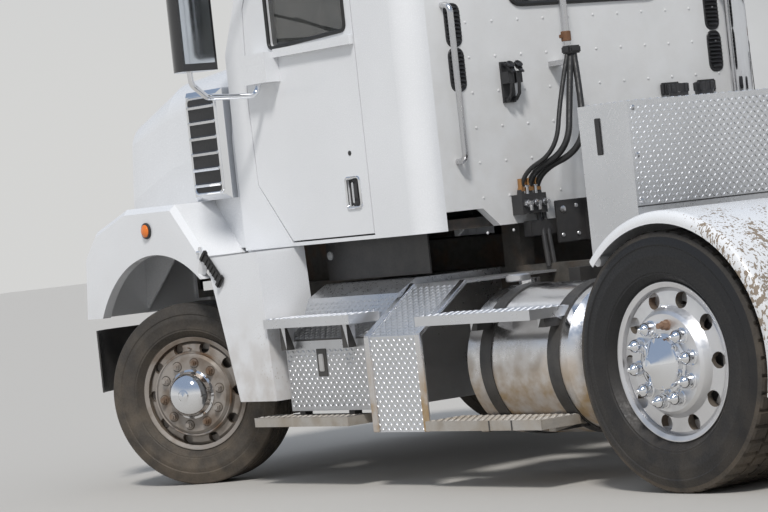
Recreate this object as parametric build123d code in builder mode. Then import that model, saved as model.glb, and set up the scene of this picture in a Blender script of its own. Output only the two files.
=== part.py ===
"""Conventional highway tractor unit with a day cab and tandem drive axles.

Millimetres. +X forward, +Y left, +Z up, ground at Z = 0. Stations along the
truck are measured forward from the first drive axle; x_at() turns a station
into row X, whose zero is halfway between the bumper face and the frame tail.
The front wheels stand steered to the left, as the truck is parked.
"""
from build123d import *
import os
from math import cos, radians, sin

os.makedirs("parts", exist_ok=True)

# Overall layout
bumper_station = 4130
tail_station = -2080
front_axle_station = 3430
tandem_spacing = 1320
back_wall_station = 1606
middle_station = (bumper_station + tail_station) / 2

# Wheels
tyre_radius = 490
flange_radius = 298.5
bead_radius = 287.0
disc_face_radius = 182
steer_tyre_radius = 418
steer_flange_radius = 260
steer_bead_radius = 248
steer_disc_face_radius = 172
steer_rim_width = 190
steer_tyre_width = 250
drive_rim_width = 380
drive_tyre_width = 445
drive_face_y = 1185.5
hand_hole_circle = 239
hand_hole_radius = 31
steer_hole_circle = 216
steer_hole_radius = 25
spindle_radius = 45
running_gap = 0.05
seat_gap = 0.3
hub_z = tyre_radius
steer_hub_z = steer_tyre_radius

# Steering
kingpin_y = 885
kingpin_radius = 25
steer_face_offset = 277
steer_rest = 30
tie_arm_back = 190
tie_arm_half = 22

# Frame
rail_height = 267
rail_flange = 85
rail_thickness = 9
rail_y = 432
rail_top = 862
rail_bottom = rail_top - rail_height
rail_front_station = 3960

# Cab
cab_half_width = 1000
cab_bottom = 1045
cab_eave = 2680
roof_crown = 110
cab_wall = 45
cab_corner = 110
cowl_station = 2940
cowl_v = 130
screen_base_z = 1930
screen_lean = 0.48
door_rear_station = 1974
door_front_station = 2790
door_gap = 7
door_bottom = 1068
door_top = 2585
door_foot_station = 2565
door_foot_rise = 1330
belt_z = 1885
window_top = 2480
rear_window_half = 430
rear_window_low = 1977
rear_window_high = 2430
glass_thickness = 6
wall_notch_z = 1124

# Hood and fenders
hood_gap = 12
hood_nose_station = 4050
hood_skin = 10
hood_rear_half = cab_half_width - 15
hood_nose_half = 855
hood_low = 1060
fender_half = 1200
fender_inner = 850
fender_crown = 1290
arch_radius = 578
arch_station = 3400
fender_skin = 10

# Side gear
side_face_y = 1160
step_outer_y = 1225
step_thickness = 40
fuel_radius = 305
fuel_y = 795
fuel_z = 492
fuel_rear_station = 600
fuel_front_station = 1400
fuel_dome = 90
strap_width = 70
strap_thickness = 5

# Behind the cab
wet_tank_rear = 424
wet_tank_depth = 293
wet_tank_half = 887
wet_tank_top = 1483
fender_arc_radius = 560
fender_arc_shift = -20
fender_width = 600
fender_sheet = 4
stack_station = 1405
stack_y = -850
muffler_radius = 130
stack_radius = 64
plate_height = 1165
kingpin_bore = 25.8


def x_at(station):
    """Row X of a station measured forward from the first drive axle."""
    return station - middle_station


def block(low, high, mode=Mode.ADD):
    """Rectangular block between two opposite corners, in the open builder."""
    size = [b - a for a, b in zip(low, high)]
    with Locations(tuple(low)):
        Box(*size, align=(Align.MIN, Align.MIN, Align.MIN), mode=mode)


def rod(start, end, radius, mode=Mode.ADD):
    """Round bar from one point to another, in the open builder."""
    axis = Vector(*end) - Vector(*start)
    upright = abs(axis.Z) > 0.1 * axis.length
    with BuildSketch(Plane(origin=start, x_dir=None if upright else (0, 0, 1), z_dir=axis)) as section:
        Circle(radius)
    extrude(section.sketch, amount=axis.length, mode=mode)


def bent_tube(points, bend, radius):
    """Tube with tangent bends through a list of points, in the open builder."""
    with BuildLine() as path:
        FilletPolyline(*points, radius=bend)
    with BuildSketch(Plane(origin=path.line @ 0, z_dir=path.line % 0)) as section:
        Circle(radius)
    sweep(section.sketch, path=path.line)


def both_sides():
    """Mirror what the open builder holds to the other side of the truck."""
    mirror(about=Plane.XZ)


def save(piece, name):
    piece.part.label = name
    export_step(piece.part, f"parts/{name}.step")


# Frame rails: two C channels, open inwards
with BuildPart() as frame_rails:
    for side in (-1, 1):
        with BuildSketch(Plane.YZ.offset(x_at(tail_station))):
            with Locations((side * (rail_y - rail_flange / 2), rail_bottom + rail_height / 2)):
                Rectangle(rail_flange, rail_height)
            with Locations((side * (rail_y - rail_flange / 2 - rail_thickness),
                            rail_bottom + rail_height / 2)):
                Rectangle(rail_flange, rail_height - 2 * rail_thickness, mode=Mode.SUBTRACT)
        extrude(amount=rail_front_station - tail_station)
save(frame_rails, "frame_rails")

# Crossmembers: channels between the rail webs
cross_rows = (
    # station, channel depth
    (-2010, 190),
    (-660, 190),
    (330, 190),
    (1330, 80),
    (3755, 190),
)
with BuildPart() as crossmembers:
    web_half = rail_y - rail_thickness
    for station, depth in cross_rows:
        x = x_at(station)
        high = rail_top - rail_thickness - 10
        block((x, -web_half, high - depth), (x + 90, web_half, high))
        block((x + 9, -web_half, high - depth + 9), (x + 90, web_half, high - 9), Mode.SUBTRACT)
save(crossmembers, "crossmembers")

# Front bumper: bar, bowed and wrapped back at its ends
bumper_low = 440
bumper_high = 735
bumper_half = 1190
bumper_sheet = 8
bumper_face_x = x_at(bumper_station)
with BuildPart() as front_bumper:
    with BuildSketch(Plane.XY.offset(bumper_low)) as bar:
        with BuildLine():
            bow = ThreePointArc((bumper_face_x - 50, -950), (bumper_face_x, 0), (bumper_face_x - 50, 950))
            wrap = ThreePointArc(bow @ 1, (bumper_face_x - 78, 1105), (bumper_face_x - 150, bumper_half))
            Line(wrap @ 1, (bumper_face_x - 158, bumper_half - 4))
            inner = ThreePointArc(
                (bumper_face_x - 158, bumper_half - 4),
                (bumper_face_x - 78 - bumper_sheet, 1100),
                (bumper_face_x - 50 - bumper_sheet, 948),
            )
            ThreePointArc(inner @ 1, (bumper_face_x - bumper_sheet, 0),
                          (bumper_face_x - 50 - bumper_sheet, -948))
            low_inner = ThreePointArc(
                (bumper_face_x - 50 - bumper_sheet, -948),
                (bumper_face_x - 78 - bumper_sheet, -1100),
                (bumper_face_x - 158, -bumper_half + 4),
            )
            Line(low_inner @ 1, (bumper_face_x - 150, -bumper_half))
            ThreePointArc((bumper_face_x - 150, -bumper_half), (bumper_face_x - 78, -1105), bow @ 0)
        make_face()
    extrude(amount=bumper_high - bumper_low)
    for side in (-1, 1):
        y = side * (rail_y - 40)
        block((x_at(rail_front_station), y - 40, rail_bottom + 20),
              (bumper_face_x - 14, y + 40, bumper_high - 30))
save(front_bumper, "front_bumper")

# Engine and gearbox as one plain block, radiator pack ahead of it
with BuildPart() as engine_block:
    block((x_at(3090), -330, 640), (x_at(3700), 330, 1560))
    block((x_at(1900), -230, 620), (x_at(3090), 230, 1000))
    block((x_at(3860), -380, rail_top), (x_at(3950), 380, 1500))
    block((x_at(3700), -260, 1000), (x_at(3860), 260, 1080))
save(engine_block, "engine_block")


# Steering geometry, straight ahead and then turned to the parked angle
def steer_pose(side):
    """Frame on a kingpin: turned to the parked steering angle."""
    return Location((x_at(front_axle_station), side * kingpin_y, steer_hub_z), (0, 0, steer_rest))


# Front axle: dropped beam with a kingpin at each end
beam_drop = 50
beam_end_half = 52
pin_reach = 104
with BuildPart() as front_axle:
    x = x_at(front_axle_station)
    end_low = steer_hub_z - beam_end_half
    end_high = steer_hub_z + beam_end_half
    with BuildSketch(Plane.YZ.offset(x - 45)):
        with BuildLine():
            Polyline(
                (-kingpin_y, end_low), (-kingpin_y + 160, end_low), (-rail_y - 60, steer_hub_z - beam_drop - 40),
                (rail_y + 60, steer_hub_z - beam_drop - 40), (kingpin_y - 160, end_low), (kingpin_y, end_low),
                (kingpin_y, end_high), (kingpin_y - 80, end_high), (rail_y + 60, steer_hub_z - beam_drop + 60),
                (-rail_y - 60, steer_hub_z - beam_drop + 60), (-kingpin_y + 80, end_high),
                (-kingpin_y, end_high), close=True)
        make_face()
    extrude(amount=90)
    for side in (-1, 1):
        y = side * kingpin_y
        rod((x, y, end_low), (x, y, end_high), 45)
        rod((x, y, steer_hub_z - pin_reach), (x, y, steer_hub_z + pin_reach), kingpin_radius)
save(front_axle, "front_axle")


def knuckle_solid(side):
    """Knuckle about its kingpin, straight ahead, outboard along side * Y."""
    ear_low = beam_end_half + 5
    ear_high = ear_low + 38
    out = side * 62
    with BuildPart() as knuckle:
        for sign in (-1, 1):
            low, high = sorted((sign * ear_low, sign * ear_high))
            rod((0, 0, low), (0, 0, high), 46)
            block((-40, min(0, out), low), (40, max(0, out), high))
        block((-60, min(out, side * 92), -ear_high), (60, max(out, side * 92), ear_high))
        rod((0, side * 92, 0), (0, side * 110, 0), 90)
        rod((0, side * 110, 0), (0, side * (steer_face_offset + 15), 0), spindle_radius)
        arm_z = -ear_high + 12
        with BuildSketch(Plane.XY.offset(arm_z - 12)) as arm:
            with BuildLine():
                Polyline((30, side * 60), (-40, side * 60), (-tie_arm_back - 20, side * tie_arm_half),
                         (-tie_arm_back - 20, -side * tie_arm_half), (-tie_arm_back + 20, -side * tie_arm_half),
                         (30, -side * 10), close=True)
            make_face()
        extrude(arm.sketch, amount=24)
        rod((0, 0, -ear_high - 1), (0, 0, ear_high + 1), kingpin_radius + running_gap, Mode.SUBTRACT)
        rod((-tie_arm_back, 0, arm_z - 12), (-tie_arm_back, 0, arm_z - 70), 14)
    return knuckle.part


for name, side in (("left", 1), ("right", -1)):
    with BuildPart() as knuckle:
        with Locations(steer_pose(side)):
            add(knuckle_solid(side))
    save(knuckle, f"knuckle_{name}")

# Tie rod: joins the two steering arms below the axle
tie_z = steer_hub_z - beam_end_half - 88


def tie_end(side):
    """Centre of a tie rod end at the parked angle."""
    turn = radians(steer_rest)
    x = x_at(front_axle_station) - tie_arm_back * cos(turn)
    return (x, side * kingpin_y - tie_arm_back * sin(turn), tie_z)


with BuildPart() as tie_rod:
    ends = [tie_end(1), tie_end(-1)]
    rod(ends[0], ends[1], 19)
    for end in ends:
        rod((end[0], end[1], tie_z - 22), (end[0], end[1], tie_z + 22), 28)
    rod((ends[0][0], ends[0][1], tie_z - 23), (ends[0][0], ends[0][1], tie_z + 23), 14.05, Mode.SUBTRACT)
    rod((ends[1][0], ends[1][1], tie_z - 23), (ends[1][0], ends[1][1], tie_z + 23), 20, Mode.SUBTRACT)
save(tie_rod, "tie_rod")


def tyre_solid(radius, rim_radius, seat_radius, rim_width, section_width):
    """Tyre about local Z, its rim's outer flange plane at Z = 0."""
    inside = seat_radius + seat_gap
    side_middle = (radius + rim_radius) / 2
    mid = -rim_width / 2
    bulge = mid + section_width / 2
    tread = bulge - 22
    flange = -13
    with BuildPart() as tyre:
        with BuildSketch(Plane.XZ) as section:
            with BuildLine():
                Polyline((radius - 28, mid), (radius, mid), (radius, tread - 10))
                ThreePointArc((radius, tread - 10), (radius - 7, tread + 6), (radius - 24, tread + 13))
                ThreePointArc((radius - 24, tread + 13), (side_middle, bulge), (rim_radius + 3, flange))
                Polyline((rim_radius + 3, flange), (inside, flange), (inside, flange - 28),
                         (rim_radius + 11, flange - 28))
                ThreePointArc((rim_radius + 11, flange - 28), (side_middle - 6, bulge - 18), (radius - 38, tread - 24))
                Line((radius - 38, tread - 24), (radius - 28, mid))
            make_face()
            mirror(about=Plane.XZ.offset(-mid))
        revolve(section.sketch, axis=Axis.Z)
    return tyre.part


def wheel_solid(rim_radius, seat_radius, face, rim_width, drum_depth, bore_depth, hole_circle, hole_radius):
    """Aluminium disc wheel with hub, drum and hub cover, about local Z."""
    back = -rim_width
    with BuildPart() as wheel:
        with BuildSketch(Plane.XZ) as section:
            with BuildLine():
                Polyline(
                    (rim_radius, 0), (rim_radius, -12), (seat_radius, -12.6), (seat_radius, -46),
                    (seat_radius - 25, -66), (seat_radius - 25, back + 66), (seat_radius, back + 46),
                    (seat_radius, back + 12.6), (rim_radius, back + 12), (rim_radius, back), (seat_radius - 8, back),
                    (seat_radius - 9, back + 50), (seat_radius - 33, back + 68), (seat_radius - 33, -74),
                    (face + 30, -30), (face + 8, 2), (120, 8), (120, -60), (150, -66), (150, -80), (206, -80),
                    (206, drum_depth), (192, drum_depth), (192, -94), (100, -94), (100, bore_depth),
                    (spindle_radius + running_gap, bore_depth), (spindle_radius + running_gap, 24), (0, 24),
                    (0, 132), (22, 126), (84, 66), (98, 62), (98, 30), (face, 30), (face + 12, 18), (face + 28, -8),
                    (seat_radius - 23, -14), (seat_radius - 9, -30), (seat_radius - 8, -6), (rim_radius - 4, 0),
                    close=True)
            make_face()
        revolve(section.sketch, axis=Axis.Z)
        with PolarLocations(hole_circle, 10, start_angle=18):
            Cylinder(hole_radius, 90, align=(Align.CENTER, Align.CENTER, Align.CENTER), mode=Mode.SUBTRACT)
    return wheel.part


steer_tyre = tyre_solid(steer_tyre_radius, steer_flange_radius, steer_bead_radius, steer_rim_width, steer_tyre_width)
steer_wheel = wheel_solid(steer_flange_radius, steer_bead_radius, steer_disc_face_radius, steer_rim_width,
                          -160, -140, steer_hole_circle, steer_hole_radius)
drive_tyre = tyre_solid(tyre_radius, flange_radius, bead_radius, drive_rim_width, drive_tyre_width)
drive_wheel = wheel_solid(flange_radius, bead_radius, disc_face_radius, drive_rim_width,
                          -230, -200, hand_hole_circle, hand_hole_radius)


def wheel_places():
    """Name, place, tyre and wheel of each road wheel."""
    places = []
    for name, side in (("left", 1), ("right", -1)):
        turn = radians(steer_rest)
        out = Vector(-side * sin(turn), side * cos(turn), 0)
        hub = Vector(x_at(front_axle_station), side * kingpin_y, steer_hub_z)
        plane = Plane(origin=hub + out * steer_face_offset, x_dir=(0, 0, 1), z_dir=out)
        places.append((f"front_{name}", plane, steer_tyre, steer_wheel))
    for row, station in (("mid", 0), ("rear", -tandem_spacing)):
        for name, side in (("left", 1), ("right", -1)):
            plane = Plane(origin=(x_at(station), side * drive_face_y, hub_z), x_dir=(0, 0, 1), z_dir=(0, side, 0))
            places.append((f"{row}_{name}", plane, drive_tyre, drive_wheel))
    return places


for name, plane, tyre_shape, wheel_shape in wheel_places():
    with BuildPart() as tyre:
        with Locations(plane.location):
            add(tyre_shape)
    save(tyre, f"tyre_{name}")
    with BuildPart() as wheel:
        with Locations(plane.location):
            add(wheel_shape)
    save(wheel, f"wheel_{name}")

# Drive axles: tube, differential bowl and spindles, with the shafts between
axle_tube_radius = 66
bowl_radius = 190
axle_tube_end = drive_face_y - 262
spindle_end = drive_face_y + 18
with BuildPart() as drive_axles:
    for station in (0, -tandem_spacing):
        x = x_at(station)
        with Locations((x, 0, hub_z)):
            Sphere(bowl_radius)
        block((x - 200, -200, hub_z - 200), (x - 130, 200, hub_z + 200), Mode.SUBTRACT)
        rod((x, -axle_tube_end, hub_z), (x, axle_tube_end, hub_z), axle_tube_radius)
        rod((x, -spindle_end, hub_z), (x, spindle_end, hub_z), spindle_radius)
        rod((x, 0, hub_z + 30), (x + 330, 0, hub_z + 30), 75)
    rod((x_at(-tandem_spacing) + 330, 0, hub_z + 30), (x_at(0) - 100, 0, hub_z + 30), 45)
    rod((x_at(310), 0, hub_z + 26), (x_at(1900) - 9, 0, 760), 55)
save(drive_axles, "drive_axles")

# Suspension: front leaf packs on the beam, rear air bags and trailing arms
with BuildPart() as suspension:
    spring_z = steer_hub_z - beam_drop + 60
    for side in (-1, 1):
        y = side * (rail_y - 42)
        x = x_at(front_axle_station)
        with BuildSketch(Plane.XZ.offset(-y - 40)) as leaf:
            with BuildLine():
                Polyline((x - 640, rail_bottom), (x - 640, rail_bottom - 60), (x - 90, spring_z),
                         (x + 90, spring_z), (x + 470, rail_bottom - 60), (x + 470, rail_bottom),
                         (x + 430, rail_bottom), (x + 430, rail_bottom - 50), (x + 90, spring_z + 55),
                         (x - 90, spring_z + 55), (x - 600, rail_bottom - 45), (x - 600, rail_bottom), close=True)
            make_face()
        extrude(leaf.sketch, amount=80)
        for station in (0, -tandem_spacing):
            x = x_at(station)
            top_of_tube = hub_z + axle_tube_radius
            block((x - 60, y - 40, top_of_tube - 20), (x + 60, y + 40, top_of_tube))
            block((x - 60, y - 40, top_of_tube), (x + 60, y + 40, rail_bottom))
    for station in (0, -tandem_spacing):
        rod((x_at(station), -axle_tube_end, hub_z), (x_at(station), axle_tube_end, hub_z),
            axle_tube_radius + seat_gap, Mode.SUBTRACT)
save(suspension, "suspension")

# Fuel tanks: polished cylinders with domed ends
with BuildPart() as fuel_tanks:
    with BuildSketch(Plane.XZ.offset(-fuel_y)):
        with BuildLine():
            rear, front = x_at(fuel_rear_station), x_at(fuel_front_station)
            high = fuel_z + fuel_radius
            Polyline((rear, fuel_z + 40), (rear, fuel_z), (front, fuel_z), (front, fuel_z + 40))
            ThreePointArc((front, fuel_z + 40), (front - 24, high - 85), (front - fuel_dome, high))
            Line((front - fuel_dome, high), (rear + fuel_dome, high))
            ThreePointArc((rear + fuel_dome, high), (rear + 24, high - 85), (rear, fuel_z + 40))
        make_face()
    revolve(axis=Axis((0, fuel_y, fuel_z), (1, 0, 0)))
    rod((x_at(1300), fuel_y - 60, fuel_z + fuel_radius - 40), (x_at(1300), fuel_y - 60, fuel_z + fuel_radius + 22), 45)
    both_sides()
save(fuel_tanks, "fuel_tanks")

# Tank straps and the saddle brackets that hang from the rails
strap_stations = (770, 1190)
with BuildPart() as tank_straps:
    for station in strap_stations:
        x = x_at(station) - strap_width / 2
        inner = fuel_radius + seat_gap
        with BuildSketch(Plane.YZ.offset(x)) as strap:
            with Locations((fuel_y, fuel_z)):
                Circle(inner + strap_thickness)
            with BuildLine():
                Polyline((rail_y, rail_top - 20), (rail_y + 150, rail_top - 20), (rail_y + 150, fuel_z - 180),
                         (rail_y, rail_bottom), close=True)
            make_face()
            with Locations((fuel_y, fuel_z)):
                Circle(inner, mode=Mode.SUBTRACT)
        extrude(strap.sketch, amount=strap_width)
    both_sides()
save(tank_straps, "tank_straps")

# Side boxes: tread plate boxes with sloped lids, ahead of the tanks
box_rear_station = 1850
box_front_station = 2500
box_face_y = side_face_y - 10
box_low = 330
with BuildPart() as side_boxes:
    with BuildSketch(Plane.YZ.offset(x_at(box_rear_station))) as profile:
        with BuildLine():
            Polyline((box_face_y, box_low), (box_face_y, 640), (1050, 700), (1000, 808), (900, rail_top),
                     (rail_y, rail_top), (rail_y, box_low), close=True)
        make_face()
    extrude(amount=box_front_station - box_rear_station)
    both_sides()
save(side_boxes, "side_boxes")

# Step fairings: bowed tread plate covers between box and tank
fairing_rear_station = 1478
fairing_front_station = 1845
with BuildPart() as step_fairings:
    with BuildSketch(Plane.YZ.offset(x_at(fairing_rear_station))) as profile:
        with BuildLine():
            outer = Polyline((side_face_y + 40, 240), (side_face_y + 40, 640), (930, 835), (rail_y, 835))
            Polyline((rail_y, 835), (rail_y, 825), (925, 825), (side_face_y + 30, 634), (side_face_y + 30, 240),
                     (side_face_y + 40, 240))
        make_face()
    extrude(amount=fairing_front_station - fairing_rear_station)
    both_sides()
save(step_fairings, "step_fairings")

# Steps: upper and lower treads with brackets, along box and tank
upper_step_z = 715
lower_step_z = 285
step_rows = (
    # rear station, front station, tread top, depth
    (740, 1470, upper_step_z, 205),
    (740, 1470, lower_step_z, 205),
    (1920, 2545, upper_step_z + 25, 165),
    (2000, 2690, lower_step_z + 25, 140),
)
bracket_rows = (
    # stations, low y and z, high y and z
    (strap_stations, (900, upper_step_z - 75), (1145, upper_step_z - 5)),
    (strap_stations, (860, lower_step_z - 55), (1145, lower_step_z - 5)),
    ((2000, 2450), (box_face_y + seat_gap, 600), (1195, upper_step_z + 20)),
    ((2080, 2440), (1100, lower_step_z - 10), (1140, box_low - seat_gap)),
)
with BuildPart() as side_steps:
    for rear, front, top, depth in step_rows:
        low_y = step_outer_y - depth
        block((x_at(rear), low_y, top - step_thickness), (x_at(front), step_outer_y, top))
        block((x_at(rear) + 6, low_y + 6, top - step_thickness - 1),
              (x_at(front) - 6, step_outer_y - 6, top - 5), Mode.SUBTRACT)
    for stations, low, high in bracket_rows:
        for station in stations:
            block((x_at(station) - 20, *low), (x_at(station) + 20, *high))
    rod((x_at(700), fuel_y, fuel_z), (x_at(1475), fuel_y, fuel_z),
        fuel_radius + strap_thickness + 2 * seat_gap, Mode.SUBTRACT)
    both_sides()
save(side_steps, "side_steps")

# Hydraulic tank across the frame behind the cab
with BuildPart() as hydraulic_tank:
    block((x_at(wet_tank_rear), -wet_tank_half, rail_top), (x_at(wet_tank_rear + wet_tank_depth), wet_tank_half, wet_tank_top))
    for y in (350, 490):
        rod((x_at(550), y, wet_tank_top), (x_at(550), y, wet_tank_top + 55), 38)
save(hydraulic_tank, "hydraulic_tank")

# Rear fenders: half-round sheets with edges turned down, on tubes from the frame
arc_start = 46
arc_end = 195
fender_edge_drop = 46
fender_edge_bend = 34
tube_radius = 19
with BuildPart() as rear_fenders:
    for station in (0, -tandem_spacing):
        centre = Vector(x_at(station) + fender_arc_shift, 0, hub_z)
        outer_y = step_outer_y
        start = radians(arc_start)
        radial = Plane(origin=centre, x_dir=(cos(start), 0, sin(start)), z_dir=(-sin(start), 0, cos(start)))
        crown = fender_arc_radius + fender_sheet
        bend = fender_edge_bend
        slack = 0.3 * bend
        with BuildSketch(radial) as across:
            with BuildLine():
                Line((crown, outer_y - fender_width / 2), (crown, outer_y - bend))
                ThreePointArc((crown, outer_y - bend), (crown - slack, outer_y - slack), (crown - bend, outer_y))
                Polyline((crown - bend, outer_y), (crown - fender_edge_drop, outer_y),
                         (crown - fender_edge_drop, outer_y - fender_sheet), (crown - bend, outer_y - fender_sheet))
                ThreePointArc((crown - bend, outer_y - fender_sheet),
                              (crown - slack - 0.7 * fender_sheet, outer_y - slack - 0.7 * fender_sheet),
                              (fender_arc_radius, outer_y - bend))
                Polyline((fender_arc_radius, outer_y - bend), (fender_arc_radius, outer_y - fender_width / 2),
                         (crown, outer_y - fender_width / 2))
            make_face()
            mirror(about=Plane.XZ.offset(fender_width / 2 - outer_y))
        revolve(across.sketch, axis=Axis(centre, (0, -1, 0)), revolution_arc=arc_end - arc_start)
        reach = fender_arc_radius + fender_sheet / 2 - tube_radius
        tube_z = rail_top + tube_radius
        tube_x = (reach ** 2 - (tube_z - hub_z) ** 2) ** 0.5
        for way in (-1, 1):
            place = centre.X + way * tube_x
            rod((place, rail_y - 60, tube_z), (place, outer_y - bend - 8, tube_z), tube_radius)
    both_sides()
save(rear_fenders, "rear_fenders")

# Fifth wheel: feet and crossbar on the rails, tilting plate above
pivot_z = 1075
pivot_station = -560
with BuildPart() as fifth_wheel_mount:
    x = x_at(pivot_station)
    block((x - 330, -rail_y + 70, rail_top), (x + 330, rail_y - 70, rail_top + 22))
    for side in (-1, 1):
        y = side * 330
        with BuildSketch(Plane.XZ.offset(-y - 30)) as foot:
            with BuildLine():
                Polyline((x - 190, rail_top + 22), (x + 190, rail_top + 22), (x + 55, pivot_z + 30),
                         (x - 55, pivot_z + 30), close=True)
            make_face()
        extrude(foot.sketch, amount=60)
        rod((x, y - 31, pivot_z), (x, y + 31, pivot_z), 20.05, Mode.SUBTRACT)
save(fifth_wheel_mount, "fifth_wheel_mount")

with BuildPart() as fifth_wheel_plate:
    x = x_at(pivot_station)
    with BuildSketch(Plane.XY.offset(plate_height - 34)) as top:
        with BuildLine():
            Polyline((x + 330, -300), (x + 330, 300), (x + 160, 455), (x - 200, 455), (x - 560, 300),
                     (x - 560, 190), (x - 70, 28), (x - 70, -28), (x - 560, -190), (x - 560, -300),
                     (x - 200, -455), (x + 160, -455), close=True)
        make_face()
        with Locations((x, 0)):
            Circle(kingpin_bore, mode=Mode.SUBTRACT)
    extrude(top.sketch, amount=34)
    with BuildSketch(Plane.XY.offset(plate_height - 84)) as lock:
        with Locations((x, 0)):
            Circle(80)
            Circle(kingpin_bore, mode=Mode.SUBTRACT)
    extrude(lock.sketch, amount=60)
    for side in (-1, 1):
        for inner_y in (270, 366):
            y = side * inner_y
            block((x - 60, min(y, y + side * 24), pivot_z - 30), (x + 60, max(y, y + side * 24), plate_height - 30))
        rod((x, side * 270, pivot_z), (x, side * 390, pivot_z), 20)
save(fifth_wheel_plate, "fifth_wheel_plate")

# Mud flaps behind the last axle, on a hanger each side, and the tail lamps
with BuildPart() as mud_flaps:
    x = x_at(tail_station) + 60
    block((x, 620, 180), (x + 10, 1215, 760))
    rod((x + 5, rail_y, 775), (x + 5, 1215, 775), 16)
    both_sides()
save(mud_flaps, "mud_flaps")
with BuildPart() as tail_lamps:
    lamp_z = rail_bottom + 130
    plate_x = x_at(cross_rows[0][0]) - seat_gap
    block((plate_x - 8, 0, lamp_z - 65), (plate_x, rail_y - rail_thickness - seat_gap, lamp_z + 65))
    for y in (200, 330):
        rod((plate_x, y, lamp_z), (plate_x - 40, y, lamp_z), 52)
    both_sides()
save(tail_lamps, "tail_lamps")

# Exhaust: upright muffler and stack at the right rear corner of the cab
with BuildPart() as exhaust_stack:
    x = x_at(stack_station)
    rod((x, stack_y, 1120), (x, stack_y, 2350), muffler_radius)
    rod((x, stack_y, 2350), (x, stack_y, 3050), stack_radius)
    rod((x, stack_y, 870), (x, stack_y, 1120), stack_radius)
    block((x - 20, stack_y + 40, 900), (x + 20, -rail_y + 20, 960))
    block((x - 20, -rail_y - 40, rail_top), (x + 20, -rail_y + 20, 960))
    rod((x, stack_y, 2990), (x, stack_y, 3051), stack_radius - 4, Mode.SUBTRACT)
save(exhaust_stack, "exhaust_stack")


def cab_solid(inset):
    """Cab envelope, each face moved inwards by inset."""
    half = cab_half_width - inset
    rear = x_at(back_wall_station) + inset
    front = x_at(cowl_station) - inset
    tip = front + cowl_v
    with BuildPart() as envelope:
        with BuildSketch(Plane.XY.offset(cab_bottom + inset)) as plan:
            with BuildLine():
                Polyline((rear, -half), (front, -half), (tip, 0), (front, half), (rear, half), close=True)
            make_face()
            fillet(plan.vertices().group_by(Axis.X)[0], cab_corner - inset)
        extrude(plan.sketch, amount=cab_eave + roof_crown - cab_bottom - 2 * inset)
        # Raked windscreen halves
        for side in (-1, 1):
            across = Vector(cowl_v, -side * half, 0).normalized()
            base = Vector(front, side * half, screen_base_z - inset)
            up = Vector(-screen_lean, 0, 1).normalized()
            normal = across.cross(up) * side
            split_plane = Plane(origin=base, x_dir=across, z_dir=normal if normal.X > 0 else normal * -1)
            with BuildSketch(split_plane) as cutter:
                Rectangle(4000, 4000)
            extrude(cutter.sketch, amount=1500, mode=Mode.SUBTRACT)
        # Crowned roof
        with BuildSketch(Plane.YZ.offset(rear - 10)) as sky:
            with BuildLine():
                crown = ThreePointArc((-half - 5, cab_eave - inset), (0, cab_eave + roof_crown - inset),
                                      (half + 5, cab_eave - inset))
                Polyline(crown @ 1, (half + 5, cab_eave + 400), (-half - 5, cab_eave + 400), crown @ 0)
            make_face()
        extrude(sky.sketch, amount=2000, mode=Mode.SUBTRACT)
    return envelope.part


# Cab shell, split at its panel lines
roof_split_z = 2600
front_split_station = 2200
rear_x = x_at(back_wall_station)
front_x = x_at(cowl_station)
side_inner = cab_half_width - cab_wall
wall_half = cab_half_width - cab_corner
far_front = front_x + cowl_v + 100
panels = {
    # panel: low corner, high corner
    "cab_roof": ((rear_x - 50, -1100, roof_split_z), (far_front, 1100, 3200)),
    "cab_floor": ((rear_x + cab_wall, -side_inner, cab_bottom - 5),
                  (far_front, side_inner, cab_bottom + cab_wall)),
    "cab_rear_wall": ((rear_x - 50, -wall_half, cab_bottom - 5), (rear_x + cab_wall, wall_half, roof_split_z)),
    "cab_front": ((x_at(front_split_station), -side_inner, cab_bottom + cab_wall),
                  (far_front, side_inner, roof_split_z)),
}
with BuildPart() as cab_shell:
    add(cab_solid(0))
    add(cab_solid(cab_wall), mode=Mode.SUBTRACT)


def door_outline(gap):
    """Door outline in station and height, grown outwards by gap."""
    return [
        (door_rear_station - gap, door_bottom - gap),
        (door_foot_station + gap, door_bottom - gap),
        (door_front_station - 7 + gap, door_foot_rise),
        (door_front_station + 5 + gap, 1700),
        (door_front_station - 25 + gap, 2120),
        (2530 + gap, door_top + gap),
        (door_rear_station - gap, door_top + gap),
    ]


def side_slab(outline, y_low, y_high, corner=0, shrink=0, mode=Mode.ADD):
    """Plate on the left side from a station and height outline, shrunk if asked."""
    with BuildSketch(Plane.XZ.offset(-y_high)) as face:
        with BuildLine():
            Polyline(*[(x_at(station), z) for station, z in outline], close=True)
        make_face()
        if corner:
            fillet(face.vertices(), corner)
        if shrink:
            offset(amount=-shrink)
    extrude(face.sketch, amount=y_high - y_low, mode=mode)


with BuildPart() as cab_sides:
    add(cab_shell.part)
    for low, high in panels.values():
        block(low, high, Mode.SUBTRACT)
    side_slab(door_outline(door_gap), side_inner - 20, cab_half_width + 20, mode=Mode.SUBTRACT)
    with BuildPart(mode=Mode.PRIVATE) as right_opening:
        side_slab(door_outline(door_gap), side_inner - 20, cab_half_width + 20)
        mirror(about=Plane.XZ)
    add(right_opening.part, mode=Mode.SUBTRACT)
save(cab_sides, "cab_sides")

with BuildPart() as cab_roof:
    add(cab_shell.part)
    block(*panels["cab_roof"], mode=Mode.INTERSECT)
save(cab_roof, "cab_roof")

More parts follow.
